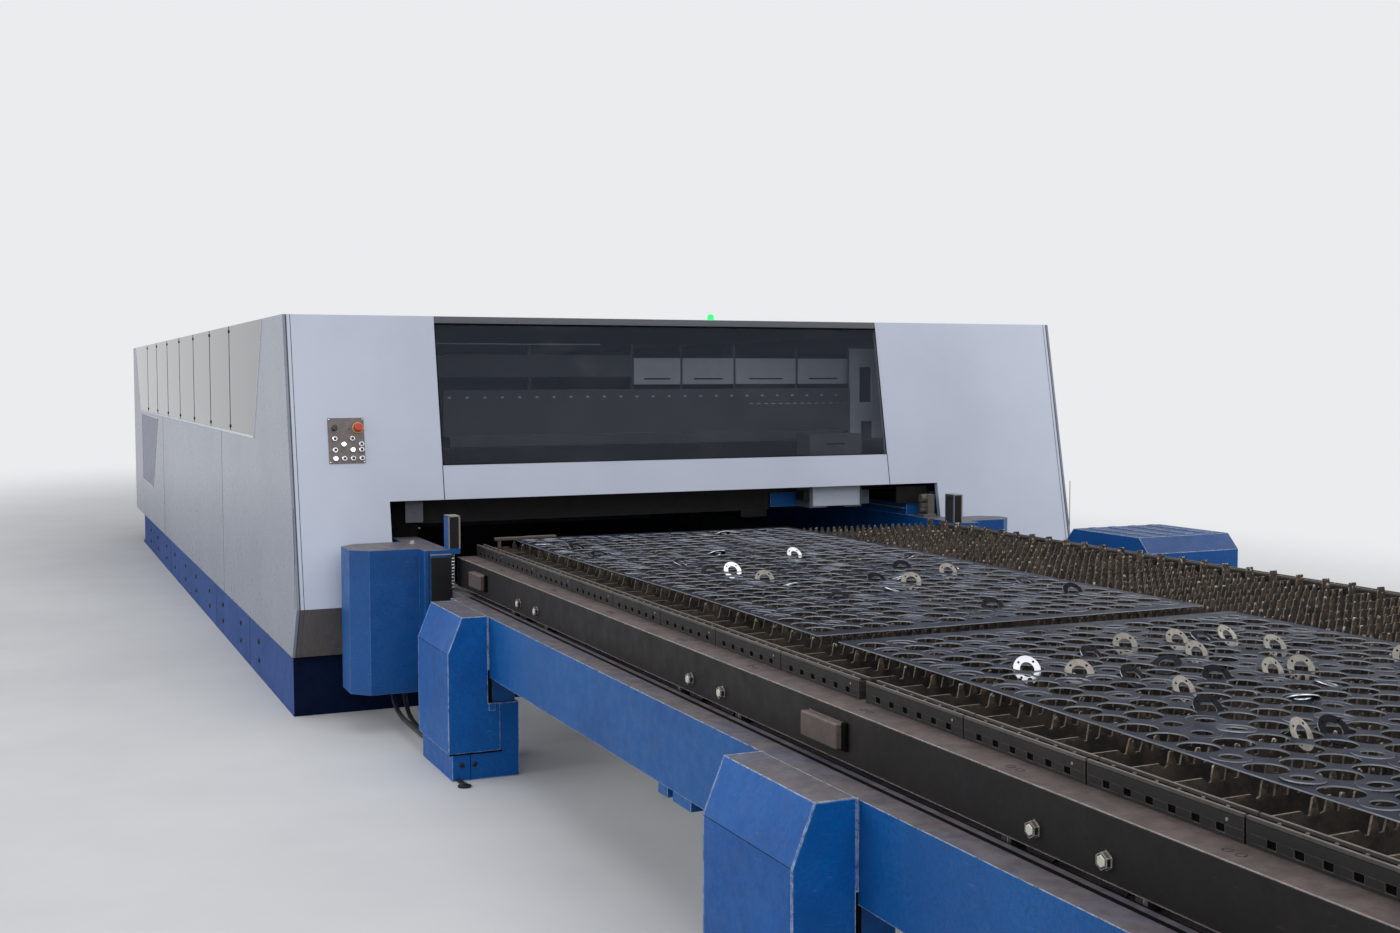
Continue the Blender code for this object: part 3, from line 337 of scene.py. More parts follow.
def glass_material(name, colour, clear, rough, streak):
    """Dark tinted glazing, partly clear, with faint wiping marks."""
    g = Graph(name)
    turn = {"Vector": g.coord, "Scale": (0.8, 0.8, 1.6), "Rotation": (0.0, 0.5, 0.0)}
    turned = g.node("ShaderNodeMapping", turn).outputs[0]
    warp = g.node("ShaderNodeTexNoise", {"Vector": turned, "Scale": 1.3, "Detail": 3.0,
                                         "Distortion": 1.6}).outputs["Fac"]
    smear = g.times(g.ramp(warp, 0.50, 0.66), g.ramp(g.noise(0.9, 3.0), 0.4, 0.65))
    lines = g.times(g.ramp(g.noise(6.0, 5.0, 0.7, (1.0, 1.0, 14.0)), 0.62, 0.72), 0.35)
    mark = g.times(g.math("MAXIMUM", smear, lines), streak)
    g.set(Base_Color=g.mix(mark, colour, srgb(132, 138, 146)), Alpha=1.0 - clear,
          Roughness=g.ramp(g.noise(3.0, 4.0), 0.3, 0.7, rough, rough * 1.8))
    g.bump(g.noise(2.5, 2.0), 0.05, 0.0005)
    return g.material


def lit_material(name, colour, strength):
    """A lit lamp or ring, with its glow a little uneven."""
    g = Graph(name)
    tone = g.mix(g.ramp(g.noise(300.0, 2.0), 0.3, 0.7), colour, darker(colour, 0.85))
    g.set(Base_Color=tone, Emission_Color=tone, Emission_Strength=strength, Roughness=0.3)
    return g.material


def plastic(name, colour, rough):
    """Moulded plastic with a fine grain."""
    g = Graph(name)
    tone = g.mix(g.ramp(g.noise(120.0, 4.0), 0.35, 0.65), colour, darker(colour, 0.82))
    g.set(Base_Color=tone, Roughness=g.ramp(g.noise(60.0), 0.3, 0.7, rough, rough * 1.35))
    g.bump(g.noise(700.0, 2.0), 0.15, 0.0002, 0.0006)
    return g.material


panel_look = panel_material()
slat_look = slat_material()
sheet_look = sheet_material("hot_rolled_sheet", srgb(41, 42, 47), srgb(38, 42, 53), (0.27, 0.43))
ring_dark_look = sheet_material("ring_scale", srgb(42, 43, 50), srgb(36, 39, 49), (0.24, 0.4))
ring_black_look = sheet_material("ring_black", srgb(22, 22, 25), srgb(16, 17, 21), (0.24, 0.4))
ring_bright_look = metal("ring_bright", srgb(224, 226, 230), 0.3, 40.0, 0.8, 0.4)
ring_tan_look = metal("ring_tan", srgb(142, 136, 128), 0.5, 60.0, 0.7, 0.6, 0.4)
bolt_look = metal("galvanised", srgb(176, 176, 172), 0.42, 120.0)
axle_look = metal("axle_heads", srgb(206, 206, 190), 0.5, 120.0, 0.75, 0.5, 0.2)
# Near-white, lighter than the zinc itself: painted light on the band and the end plate inside the cabin.
inside_painted_light_look = metal("zinc_inside_painted_light", srgb(222, 228, 240), 0.5, 20.0, 0.85, 0.5, 0.0)
chrome_look = metal("chrome_rings", srgb(226, 226, 230), 0.12, 200.0, 0.85, 0.4)
steel_look = metal("bright_steel", srgb(196, 196, 194), 0.35, 60.0)
window_look = glass_material("tinted_window", srgb(30, 40, 56), 0.72, 0.05, 0.6)
side_glass_look = glass_material("mirror_window", srgb(34, 40, 44), 0.0, 0.03, 0.15)
button_lit_look = lit_material("button_lit", srgb(240, 240, 255), 2.0)
lamp_look = lit_material("lamp_green", srgb(20, 214, 92), 1.3)
red_look = plastic("red_button", srgb(196, 52, 40), 0.3)
yellow_look = plastic("yellow_collar", srgb(206, 160, 60), 0.4)
knob_look = plastic("black_knob", srgb(30, 29, 30), 0.3)
rubber_look = plastic("black_rubber_grain", srgb(26, 26, 27), 0.55)
seal_look = plastic("seam_seal", srgb(70, 72, 78), 0.6)
bezel_look = plastic("window_bezel", srgb(78, 81, 87), 0.4)
trim_look = plastic("white_trim", srgb(206, 208, 212), 0.4)


def add_object(name, mesh, look):
    """Turns a gathered mesh into an object with one material."""
    data = bpy.data.meshes.new(name)
    mesh.to_mesh(data)
    mesh.free()
    made = bpy.data.objects.new(name, data)
    bpy.context.scene.collection.objects.link(made)
    data.materials.append(look)
    return made


class Shape:
    """Gathers mesh pieces that become one object."""

    def __init__(self):
        self.mesh = bmesh.new()

    def ring(self, spots):
        return [self.mesh.verts.new(spot) for spot in spots]

    def skin(self, rings, closed=False):
        """Faces around a stack of rings, with two end caps unless the stack closes on itself."""
        pairs = list(zip(rings, rings[1:]))
        if closed:
            pairs.append((rings[-1], rings[0]))
        faces = []
        count = len(rings[0])
        for low, high in pairs:
            for step in range(count):
                after = (step + 1) % count
                faces.append(self.mesh.faces.new((low[step], low[after], high[after], high[step])))
        if not closed:
            faces += [self.mesh.faces.new(rings[0]), self.mesh.faces.new(rings[-1])]
        bmesh.ops.recalc_face_normals(self.mesh, faces=faces)
        return self

    def box(self, low, high):
        for corner in bmesh.ops.create_cube(self.mesh, size=1.0)["verts"]:
            corner.co = Vector([(low[i] if corner.co[i] < 0 else high[i]) for i in range(3)])
        return self

    def prism(self, outline, axis, start, end):
        """An outline drawn out along an axis."""
        order = {"x": (0, 1, 2), "y": (1, 0, 2), "z": (1, 2, 0)}[axis]
        rings = []
        for along in (start, end):
            spots = [(along, *point) for point in outline]
            rings.append(self.ring([[spot[i] for i in order] for spot in spots]))
        return self.skin(rings)

    def turn(self, profile, matrix, sides=16, closed=False):
        """A profile of (radius, height) turned about the matrix's own Z."""
        steps = [2 * math.pi * step / sides for step in range(sides)]
        rings = []
        for radius, height in profile:
            spots = [Vector((radius * math.cos(a), radius * math.sin(a), height)) for a in steps]
            rings.append(self.ring([matrix @ spot for spot in spots]))
        return self.skin(rings, closed)

    def bolt(self, spot, axis, radius, height, washer=True, sides=6):
        """A hexagon head with a washer under it, standing along an axis."""
        turn = Vector((0, 0, 1)).rotation_difference(Vector(axis))
        base = Matrix.Translation(spot) @ turn.to_matrix().to_4x4()
        if washer:
            wide = radius * 1.45
            self.turn([(wide, -0.001), (wide, radius * 0.22), (radius * 1.3, radius * 0.3)], base)
        low = radius * 0.2 if washer else -0.001
        return self.turn([(radius, low), (radius, height * 0.86), (radius * 0.86, height)], base, sides)

    def done(self, name, look, body, slot, bevel=0.0, smooth=False):
        made = add_object(name, self.mesh, look)
        if smooth:
            made.data.shade_smooth()
            made.data.set_sharp_from_angle(angle=math.radians(40))
        if bevel:
            step = made.modifiers.new("edges", "BEVEL")
            step.width = bevel
            step.segments = 2
            step.limit_method = "ANGLE"
            step.angle_limit = math.radians(35)
        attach(made, body)
        return made


def shapes(count):
    return [Shape() for _ in range(count)]


def finish(body, slot, *pieces):
    """Finishes pieces that share a body, each given as its name, shape, look and bevel; the slot is not used.
    """
    for name, shape, look, *bevel in pieces:
        shape.done(name, look, body, slot, *bevel)


def boxes(name, look, body, slot, bevel, *corners):
    """One piece of plain boxes, each given by its low and its high corner."""
    shape = Shape()
    for low, high in corners:
        shape.box(low, high)
    return shape.done(name, look, body, slot, bevel)


def table_x(distance, side):
    return TABLE_X + side * distance


def table_span(first, second, side):
    """The X of two distances from the table's middle, the lower one first."""
    return sorted((table_x(first, side), table_x(second, side)))


def facing(spot, side):
    """A place whose own Z points out sideways."""
    return Matrix.Translation(spot) @ Matrix.Rotation(side * math.pi / 2, 4, "Y")


def wall_y(height):
    """Where the front wall's face stands at a height."""
    if height >= WALL_BREAK:
        return FRONT_Y + (height - WALL_BREAK) * LEAN
    return FRONT_Y + (WALL_BREAK - height) * SKIRT_LEAN


def on_wall(shape, left, right, low, high, proud, sunk=0.002):
    """A flat piece on the leaning front wall."""
    stops = [low] + [z for z in (WALL_BREAK,) if low < z < high] + [high]
    outer = [(wall_y(z) - proud, z) for z in stops]
    inner = [(wall_y(z) + sunk, z) for z in reversed(stops)]
    return shape.prism(outer + inner, "x", left, right)


def carry_over():
    """Gives each CAD node its finished material."""
    looks = {"plinth": navy_look, "bed": blue_look, "front_panel": panel_look, "front_lintel": panel_look,
             "front_window": window_look, "side_wall": shaded_white_look, "side_window": side_glass_look,
             "roof": white_look, "mouth_gear": housing_look, "lift_frame": blue_look,
             "inner_track": inner_look, "pallet_frame": black_look, "gantry": trough_look,
             "carriage": inner_look, "cutting_head": inner_look, "selector_knob": knob_look,
             "emergency_stop": red_look,
             "housing_cable": rubber_look, "lift_column_right_3": drive_look, "lift_column": column_look,
             "wheel": rail_look, "button": chrome_look}
    for name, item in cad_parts.items():
        look = next((look for start, look in looks.items() if name.startswith(start)), None)
        if look:
            for slot in item.material_slots:
                slot.material = look


def slat_profile(chance):
    """One slat's outline in X and Z: an ear on each strip, a dip, and a row of burnt saw teeth."""
    top = []
    for tooth in range(int((TEETH_RIGHT - TEETH_LEFT) / TOOTH_PITCH)):
        middle = TEETH_LEFT + (tooth + 0.5) * TOOTH_PITCH + chance.uniform(-0.002, 0.002)
        tip = TOOTH_TIP - abs(chance.gauss(0, 0.0016)) if tooth else TOOTH_TIP
        valley = TOOTH_VALLEY + chance.uniform(-0.003, 0.002)
        wide = chance.uniform(0.0038, 0.0055)
        top += [(middle - TOOTH_HALF, valley), (middle - wide, tip - chance.uniform(0, 0.003)),
                (middle + wide * 0.1, tip), (middle + wide, tip - chance.uniform(0, 0.003)),
                (middle + TOOTH_HALF, valley + 0.001)]
    left_ear = [(-1.436, 0.803), (-1.436, 0.831), (-1.318, 0.832), (-1.304, 0.822)]
    right_ear = [(0.913, 0.824), (0.916, 0.872), (0.946, 0.872), (0.950, 0.831), (1.032, 0.831),
                 (1.032, 0.803)]
    foot = [(0.935, 0.795), (0.932, SLAT_FOOT), (-1.330, SLAT_FOOT), (-1.334, 0.795)]
    return [*left_ear, *top, *right_ear, *foot]


def slats(name, low, high, seed):
    """A bank of burnt slats with saw teeth, each with its own small faults."""
    chance = random.Random(seed)
    shape = Shape()
    count = int((high - low - SLAT_PITCH / 2) / SLAT_PITCH)
    first = (low + high - count * SLAT_PITCH) / 2
    for number in range(count + 1):
        y = first + number * SLAT_PITCH + chance.uniform(-0.002, 0.002)
        lean = chance.uniform(-0.004, 0.004) / 0.06
        outline = slat_profile(chance)
        shape.skin([shape.ring([(x, y + offset + lean * (z - STRIP_JOG), z) for x, z in outline])
                    for offset in (-SLAT_HALF_THICK, SLAT_HALF_THICK)])
    return shape.done(name, slat_look, "pallet", "rusted_slats")


def strips(name, low, high):
    """Holder strips in short lengths, with two rims, studs between them, notches in both faces, and near-black
    cores that paint the shade in the notches and the joints.
    """
    body, studs, rims, dark_lines, screws, shade_cores = shapes(6)
    rim_wide = 0.006
    span = (high - low) / STRIP_LENGTHS
    for side, number in [(side, number) for side in (-1, 1) for number in range(STRIP_LENGTHS)]:
        a, b = table_span(STRIP_OUT, STRIP_IN, side)
        start = low + number * span + STRIP_GAP
        end = low + (number + 1) * span - STRIP_GAP
        body.box((a, start, NOTCH_HIGH), (b, end, 0.8365))
        body.box((a + 0.001, start, 0.7903), (b - 0.001, end, NOTCH_LOW))
        # Painted shade: near-black cores behind the notches and in the joints between lengths.
        shade_cores.box((a + 0.005, start + 0.001, NOTCH_LOW - 0.0008),
                  (b - 0.005, end - 0.001, NOTCH_HIGH + 0.0008))
        shade_cores.box((a + 0.002, end - 0.0005, 0.7905), (b - 0.002, end + STRIP_GAP, 0.8380))
        dark_lines.box((a + 0.0064, start + 0.001, 0.8360), (b - 0.0064, end - 0.001, 0.8372))
        for rim in (a, b - rim_wide):
            rims.box((rim, start, 0.8355), (rim + rim_wide, end, 0.8435))
        marks = int((end - start) / NOTCH_PITCH)
        edge = (end - start - marks * NOTCH_PITCH) / 2
        spots = [start + edge + NOTCH_PITCH * (i + 0.5) for i in range(marks)]
        walls = [start] + [v for s in spots for v in (s - NOTCH_HALF, s + NOTCH_HALF)] + [end]
        for from_y, to_y in zip(walls[::2], walls[1::2]):
            body.box((a + 0.0005, from_y, NOTCH_LOW - 0.0004), (b - 0.0005, to_y, NOTCH_HIGH + 0.0004))
        for spot in spots:
            base = Matrix.Translation(((a + b) / 2, spot, 0.8370))
            studs.turn([(0.0038, 0), (0.0038, 0.0040), (0.0026, 0.0052)], base, 8)
        for face, way in ((a, -1), (b, 1)):
            base = facing((face, start + 0.040, 0.8235), way)
            screws.turn([(0.0036, -0.001), (0.0036, 0.0010), (0.0026, 0.0016)], base, 10)
    finish("pallet", "rusted_slats", (name, body, strip_look), (name + "_rims", rims, rim_look),
           (name + "_grooves", dark_lines, near_black_and_shade_look), (name + "_cores", shade_cores, near_black_and_shade_look),
           (name + "_screws", screws, ring_tan_look), (name + "_studs", studs, rail_look))


def hole_places(low_y):
    """The middle of each hole of a sheet, by its column and row."""
    start_x = SHEET_LEFT + 0.057
    start_y = low_y + (SHEET_LENGTH - (HOLE_ROWS - 1) * HOLE_PITCH) / 2
    return {(column, row): (start_x + column * HOLE_PITCH, start_y + row * HOLE_PITCH)
            for column in range(HOLE_COLUMNS) for row in range(HOLE_ROWS)}


def sheet(name, low_y, seed):
    """A slightly wavy sheet with its close rows of round holes."""
    mesh = bmesh.new()
    known = {}

    def corner(x, y):
        key = (round(x, 5), round(y, 5))
        if key not in known:
            wave = math.sin(x * 3.1 + seed) * math.sin(y * 2.3 + seed * 2)
            known[key] = mesh.verts.new((x, y, SHEET_Z + 0.0035 * (wave + 1)))
        return known[key]

    for (column, row), (x, y) in hole_places(low_y).items():
        hole, border = [], []
        for step in range(HOLE_SIDES):
            angle = 2 * math.pi * step / HOLE_SIDES
            c, s = math.cos(angle), math.sin(angle)
            hole.append(corner(x + HOLE_RADIUS * c, y + HOLE_RADIUS * s))
            reach = HOLE_PITCH / 2 / max(abs(c), abs(s))
            border_x, border_y = x + reach * c, y + reach * s
            if abs(c) >= abs(s) - 1e-6:
                if column == 0 and c < 0:
                    border_x = SHEET_LEFT
                if column == HOLE_COLUMNS - 1 and c > 0:
                    border_x = SHEET_LEFT + SHEET_WIDTH
            if abs(s) >= abs(c) - 1e-6:
                if row == 0 and s < 0:
                    border_y = low_y
                if row == HOLE_ROWS - 1 and s > 0:
                    border_y = low_y + SHEET_LENGTH
            border.append(corner(border_x, border_y))
        for step in range(HOLE_SIDES):
            after = (step + 1) % HOLE_SIDES
            mesh.faces.new((hole[step], border[step], border[after], hole[after]))
    bmesh.ops.recalc_face_normals(mesh, faces=mesh.faces)
    made = add_object(name, mesh, sheet_look)
    thick = made.modifiers.new("thickness", "SOLIDIFY")
    thick.thickness = SHEET_THICK
    thick.offset = -1.0
    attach(made, "pallet")
    return made


def ring_shape(shape, matrix, outer=0.0412, inner=0.0235, marks=None):
    """A cut ring; marks gathers the near-black discs that paint the shade in its four small bolt holes."""
    half = 0.0014
    shape.turn([(inner, -half), (outer, -half), (outer, half), (inner, half)], matrix, 32, True)
    if marks:
        for quarter in range(4):
            angle = math.pi * (0.25 + quarter / 2)
            reach = (outer + inner) / 2
            spot = matrix @ Matrix.Translation((reach * math.cos(angle), reach * math.sin(angle), 0))
            # Painted shade: a near-black disc fills each bolt hole.
            marks.turn([(0.0032, -half - 0.0003), (0.0032, half + 0.0003)], spot, 10)


def tilted(x, y, z=0.0):
    """A turn about X, Y and Z in degrees."""
    return Euler((math.radians(x), math.radians(y), math.radians(z))).to_matrix().to_4x4()


def rings(name, low_y, seed, bright, tan, dark):
    """Rings that lie in some holes of a sheet, and the ones that the cut tipped up."""
    chance = random.Random(seed)
    flat, shine, warm, dull, marks = shapes(5)
    for key, (x, y) in hole_places(low_y).items():
        shifts = (chance.uniform(-0.001, 0.001), chance.uniform(-0.001, 0.001))
        spot = Matrix.Translation((x + shifts[0], y + shifts[1], SHEET_Z))
        roll = chance.random()
        if key in bright or key in tan or key in dark:
            lean = chance.uniform(52, 62) if key not in dark else chance.uniform(34, 48)
            tilt = tilted(lean, 0, chance.uniform(-25, 20))
            pick = shine if key in bright else warm if key in tan else dull
            ring_shape(pick, spot @ Matrix.Translation((0, 0.002, 0.001)) @ tilt, 0.0372, 0.0195, marks)
        elif roll < 0.36:
            tilt = tilted(chance.gauss(0, 1.6), chance.gauss(0, 1.6))
            ring_shape(flat, spot @ Matrix.Translation((0, 0, 0.0005 + chance.uniform(0, 0.003))) @ tilt)
        elif roll < 0.39:
            turn = chance.uniform(0, 180)
            tilt = tilted(chance.choice((-1, 1)) * chance.uniform(12, 32), 0, turn)
            ring_shape(dull, spot @ Matrix.Translation((0, 0, 0.002)) @ tilt, 0.0375, 0.0195)
    finish("pallet", "cut_sheet", (name + "_rings_flat", flat, ring_dark_look),
           (name + "_rings_tipped", dull, ring_black_look), (name + "_rings_bright", shine, ring_bright_look),
           (name + "_rings_tan", warm, ring_tan_look), (name + "_ring_holes", marks, near_black_and_shade_look))


def pallet_sides(side, bolts, plates, plate_shade, wipers, edges):
    """Axle bolts, bumper plates with painted shade beside them, and rail wipers on one side of the pallet."""
    for spot in AXLES:
        bolts.bolt((table_x(PALLET_HALF, side), spot, AXLE_Z), (side, 0, 0), 0.0150, 0.0042, False, 18)
        bolts.bolt((table_x(PALLET_HALF + 0.004, side), spot, AXLE_Z), (side, 0, 0), 0.0128, 0.0100, False)
    for back in (0.37, 3.47):
        y = PALLET_REAR - back
        near, far = table_span(PALLET_HALF - 0.002, PALLET_HALF + 0.0265, side)
        plates.box((near, y - 0.0915, 0.6935), (far, y + 0.0915, 0.7565))
        # Painted shade: a near-black plate beside each bumper plate.
        near, far = table_span(PALLET_HALF - 0.002, PALLET_HALF + 0.010, side)
        plate_shade.box((near, y - 0.110, 0.690), (far, y - 0.091, 0.760))
    for far, near in zip(AXLES[::2], AXLES[1::2]):
        for y in (far + 0.098, near - 0.098):
            a, b = table_span(PALLET_HALF - 0.004, PALLET_HALF - 0.060, side)
            wipers.box((a, y - 0.004, 0.634), (b, y + 0.020, 0.6605))
            a, b = table_span(PALLET_HALF - 0.002, PALLET_HALF - 0.010, side)
            edges.box((a, y - 0.0065, 0.632), (b, y - 0.004, 0.6605))


def pallet_tops(side, holes, clamps, heads):
    """The paired holes along one beam of the pallet, and the clamps beside its strips."""
    for middle in (-1.98, -2.66, -3.27, -3.89, -4.39, -5.02, -5.63, -6.26, -6.87, -7.5, -8.1):
        for y in (middle - 0.016, middle + 0.016):
            # Shallow dark cups: painted shade for the depth of the holes.
            base = Matrix.Translation((table_x(1.298, side), y, PALLET_TOP - 0.002))
            profile = [(0.0105, 0), (0.0105, 0.0028), (0.0082, 0.0028), (0.0082, 0.0009), (0.0001, 0.0009)]
            holes.turn(profile, base, 14)
    for y in (-1.56, -3.32, -3.62, -5.02, -6.71, -8.29):
        x = table_x(1.17, side)
        clamps.box((x - 0.035, y - 0.035, PALLET_TOP - 0.0025), (x + 0.035, y + 0.035, PALLET_TOP + 0.006))
        heads.bolt((x, y, PALLET_TOP + 0.006), (0, 0, 1), 0.010, 0.011)


def pallet_details():
    """What the pallet carries besides its slats and sheets."""
    bolts, plates, plate_shade, wipers, edges, holes, clamps, heads, bars = shapes(9)
    for side in (-1, 1):
        pallet_sides(side, bolts, plates, plate_shade, wipers, edges)
        pallet_tops(side, holes, clamps, heads)
    for left, right, y in ((-1.375, -1.225, -1.458), (-1.235, -1.083, -1.446)):
        bars.box((left, y - 0.014, 0.860), (right, y + 0.014, 0.8725))
        for foot in (left + 0.02, right - 0.02):
            bars.box((foot - 0.006, y - 0.010, PALLET_TOP - 0.0005), (foot + 0.006, y + 0.010, 0.861))
    finish("pallet", "black_steel", ("axle_bolts", bolts, axle_look),
           ("bumper_plates", plates, bumper_look, 0.004), ("bumper_backs", plate_shade, near_black_and_shade_look, 0.001),
           ("rail_wipers", wipers, rubber_look, 0.001), ("rail_wiper_clips", edges, steel_look),
           ("beam_holes", holes, dark_look), ("strip_clamps", clamps, strip_look, 0.001),
           ("strip_clamp_bolts", heads, bolt_look))
    bars.done("end_bars", bumper_look, "pallet", "rusted_slats", 0.001)


def table_details():
    """Painted shadow lines beside the rails, the worn strips on the beams' tops, and the brackets under the
    beams.
    """
    dark_lines, strip, hangers = shapes(3)
    for side in (-1, 1):
        # Painted shadow: near-black lines for the shadow of the rail's edge and under the web.
        low, high = table_span(1.363, 1.377, side)
        dark_lines.box((low, TABLE_FRONT + 0.01, 0.645), (high, BEAM_BACK - 0.01, 0.6485))
        low, high = table_span(1.3405, 1.344, side)
        dark_lines.box((low, TABLE_FRONT + 0.01, 0.6295), (high, BEAM_BACK - 0.01, 0.6490))
        low, high = table_span(1.278, 1.3395, side)
        strip.box((low, TABLE_FRONT + 0.005, 0.6285), (high, BEAM_BACK - 0.005, 0.6296))
        low, high = table_span(1.360, 1.450, side)
        for front, back in ((-4.13, -4.06), (-4.30, -4.17), (-7.00, -6.93), (-7.17, -7.04)):
            hangers.box((low, front, 0.371), (high, back, 0.406))
    finish("table", "blue_paint", ("rail_grooves", dark_lines, near_black_and_shade_look), ("rail_strips", strip, rail_look),
           ("beam_hangers", hangers, blue_look, 0.002))


def column_end(side, y, way, heads, feet, slots, blocks, lips, flanges, covers):
    """One end of a lift column: its cover, slot, stop, lip, flange, base bolts and levelling feet."""
    def plate(shape, first, second, depth, low, high):
        a, b = table_span(first, second, side)
        c, d = sorted((y - way * 0.001, y + way * depth))
        shape.box((a, c, low), (b, d, high))

    cover_low, leg_in = 0.302, 1.412
    outline = ((HOOD_OUT, HOOD_LOW), (HOOD_OUT, HOOD_SHOULDER), (HOOD_OUT - HOOD_CHAMFER, HOOD_TOP),
               (HOOD_IN, HOOD_TOP), (HOOD_IN, cover_low), (leg_in, cover_low), (leg_in, HOOD_LOW))
    covers.prism([(table_x(across, side), z) for across, z in outline], "y", y - way * 0.001, y + way * 0.006)
    # Painted shade: a near-black plate in the cover's notch, for the slot.
    plate(slots, HOOD_IN - 0.0005, 1.444, 0.0012, 0.303, 0.437)
    plate(blocks, HOOD_IN - 0.001, 1.432, 0.012, 0.274, 0.3035)
    # A near-black lip along the hood's bottom: partly grime, partly painted shade under the overhang.
    plate(lips, HOOD_OUT - 0.002, 1.405, 0.0065, 0.1045, 0.1115)
    plate(flanges, HOOD_IN + 0.0002, HOOD_IN - 0.0065, 0.009, 0.437, HOOD_TOP)
    plate(slots, 1.535, 1.533, 0.0008, 0.001, 0.105)
    for across in (1.569, 1.516):
        heads.bolt((table_x(across, side), y, 0.062), (0, way, 0), 0.0075, 0.006)
    for across in (1.56, 1.40):
        base = Matrix.Translation((table_x(across, side), y - way * 0.05, 0))
        feet.turn([(0.026, 0.0004), (0.026, 0.007), (0.012, 0.010), (0.012, 0.0165)], base)


def column_front(side, y, feet, slots):
    """The foot that stands out at a column's near end, and the fold line below its slope."""
    base = Matrix.Translation((table_x(1.584, side), y - 0.09, 0))
    feet.turn([(0.027, 0.0004), (0.027, 0.006), (0.011, 0.009), (0.011, 0.014)], base, 20)
    a, b = table_span(1.594, 1.574, side)
    feet.box((a, y - 0.085, 0.0045), (b, y + 0.001, 0.0105))
    a, b = table_span(HOOD_OUT - 0.002, HOOD_OUT + 0.0007, side)
    slots.box((a, y + 0.002, HOOD_SHOULDER - 0.0015), (b, y + COLUMN_LENGTH - 0.002, HOOD_SHOULDER))


def column_details():
    """Covers, slots, bolts and feet of the lift columns, and the ribs on the drive's hood."""
    heads, feet, slots, blocks, lips, flanges, covers, ribs = shapes(8)
    for side in (-1, 1):
        for near in COLUMN_Y:
            column_front(side, near, feet, slots)
            for y, way in ((near, -1), (near + COLUMN_LENGTH, 1)):
                column_end(side, y, way, heads, feet, slots, blocks, lips, flanges, covers)
    middle = COLUMN_Y[2] + COLUMN_LENGTH / 2
    for number in range(4):
        x = table_x(DRIVE_IN + DRIVE_WIDTH * (0.16 + 0.225 * number), 1)
        ribs.box((x - 0.022, middle - 0.22, DRIVE_TOP - 0.002), (x + 0.022, middle + 0.22, DRIVE_TOP + 0.006))
    finish("cabin", "blue_paint", ("column_bolts", heads, dark_look), ("levelling_feet", feet, dark_look),
           ("column_slots", slots, near_black_and_shade_look), ("column_stops", blocks, blue_look, 0.001),
           ("hood_lips", lips, near_black_and_shade_look, 0.001), ("hood_covers", covers, column_look, 0.001),
           ("hood_flanges", flanges, column_look, 0.001), ("drive_hood_ribs", ribs, drive_look, 0.003))


def front_details():
    """Seams, the window's seal and the head over it on the front wall."""
    seams, line, bezel = shapes(3)
    for x in (WINDOW_LEFT, WINDOW_RIGHT):
        on_wall(seams, x - 0.0022, x + 0.0022, MOUTH_TOP + 0.001, WINDOW_LOW, 0.0008)
    for side in (-1, 1):
        for x, half, proud in ((SIDE_X - 0.0155, 0.003, 0.0010), (SIDE_X - 0.035, 0.0015, 0.0006)):
            on_wall(seams, side * x - half, side * x + half, SKIRT_BOTTOM + 0.001, ROOF - 0.001, proud)
    left, right, proud = WINDOW_LEFT + 0.0005, WINDOW_RIGHT - 0.0005, 0.0012
    on_wall(line, left, left + 0.004, WINDOW_LOW + 0.001, WINDOW_HIGH, proud)
    on_wall(line, right - 0.004, right, WINDOW_LOW + 0.001, WINDOW_HIGH, proud)
    on_wall(line, left + 0.0005, right - 0.0005, WINDOW_HIGH - 0.002, WINDOW_HIGH + 0.006, proud)
    on_wall(line, left + 0.0035, right - 0.0035, WINDOW_LOW + 0.0005, WINDOW_LOW + 0.004, proud)
    on_wall(bezel, left + 0.0005, right - 0.0005, WINDOW_HIGH + 0.006, WINDOW_HIGH + 0.014, 0.0050)
    on_wall(bezel, left + 0.0005, right - 0.0005, WINDOW_HIGH + 0.014, ROOF - 0.001, 0.0020)
    finish("cabin", "white_paint", ("front_seams", seams, seal_look), ("window_seal", line, near_black_and_shade_look),
           ("window_head", bezel, bezel_look, 0.001))


def wall_frame(across, down):
    """The control plate's own axes, with Z out of the wall."""
    plate_left, plate_top = 0.184 - SIDE_X, 1.408
    drop = Vector((0, -LEAN, -1)).normalized()
    right = Vector((1, 0, 0))
    corner = Vector((plate_left, wall_y(plate_top), plate_top))
    turn = Matrix((right, -drop, drop.cross(right))).transposed().to_4x4()
    return Matrix.Translation(corner + right * across + drop * down) @ turn


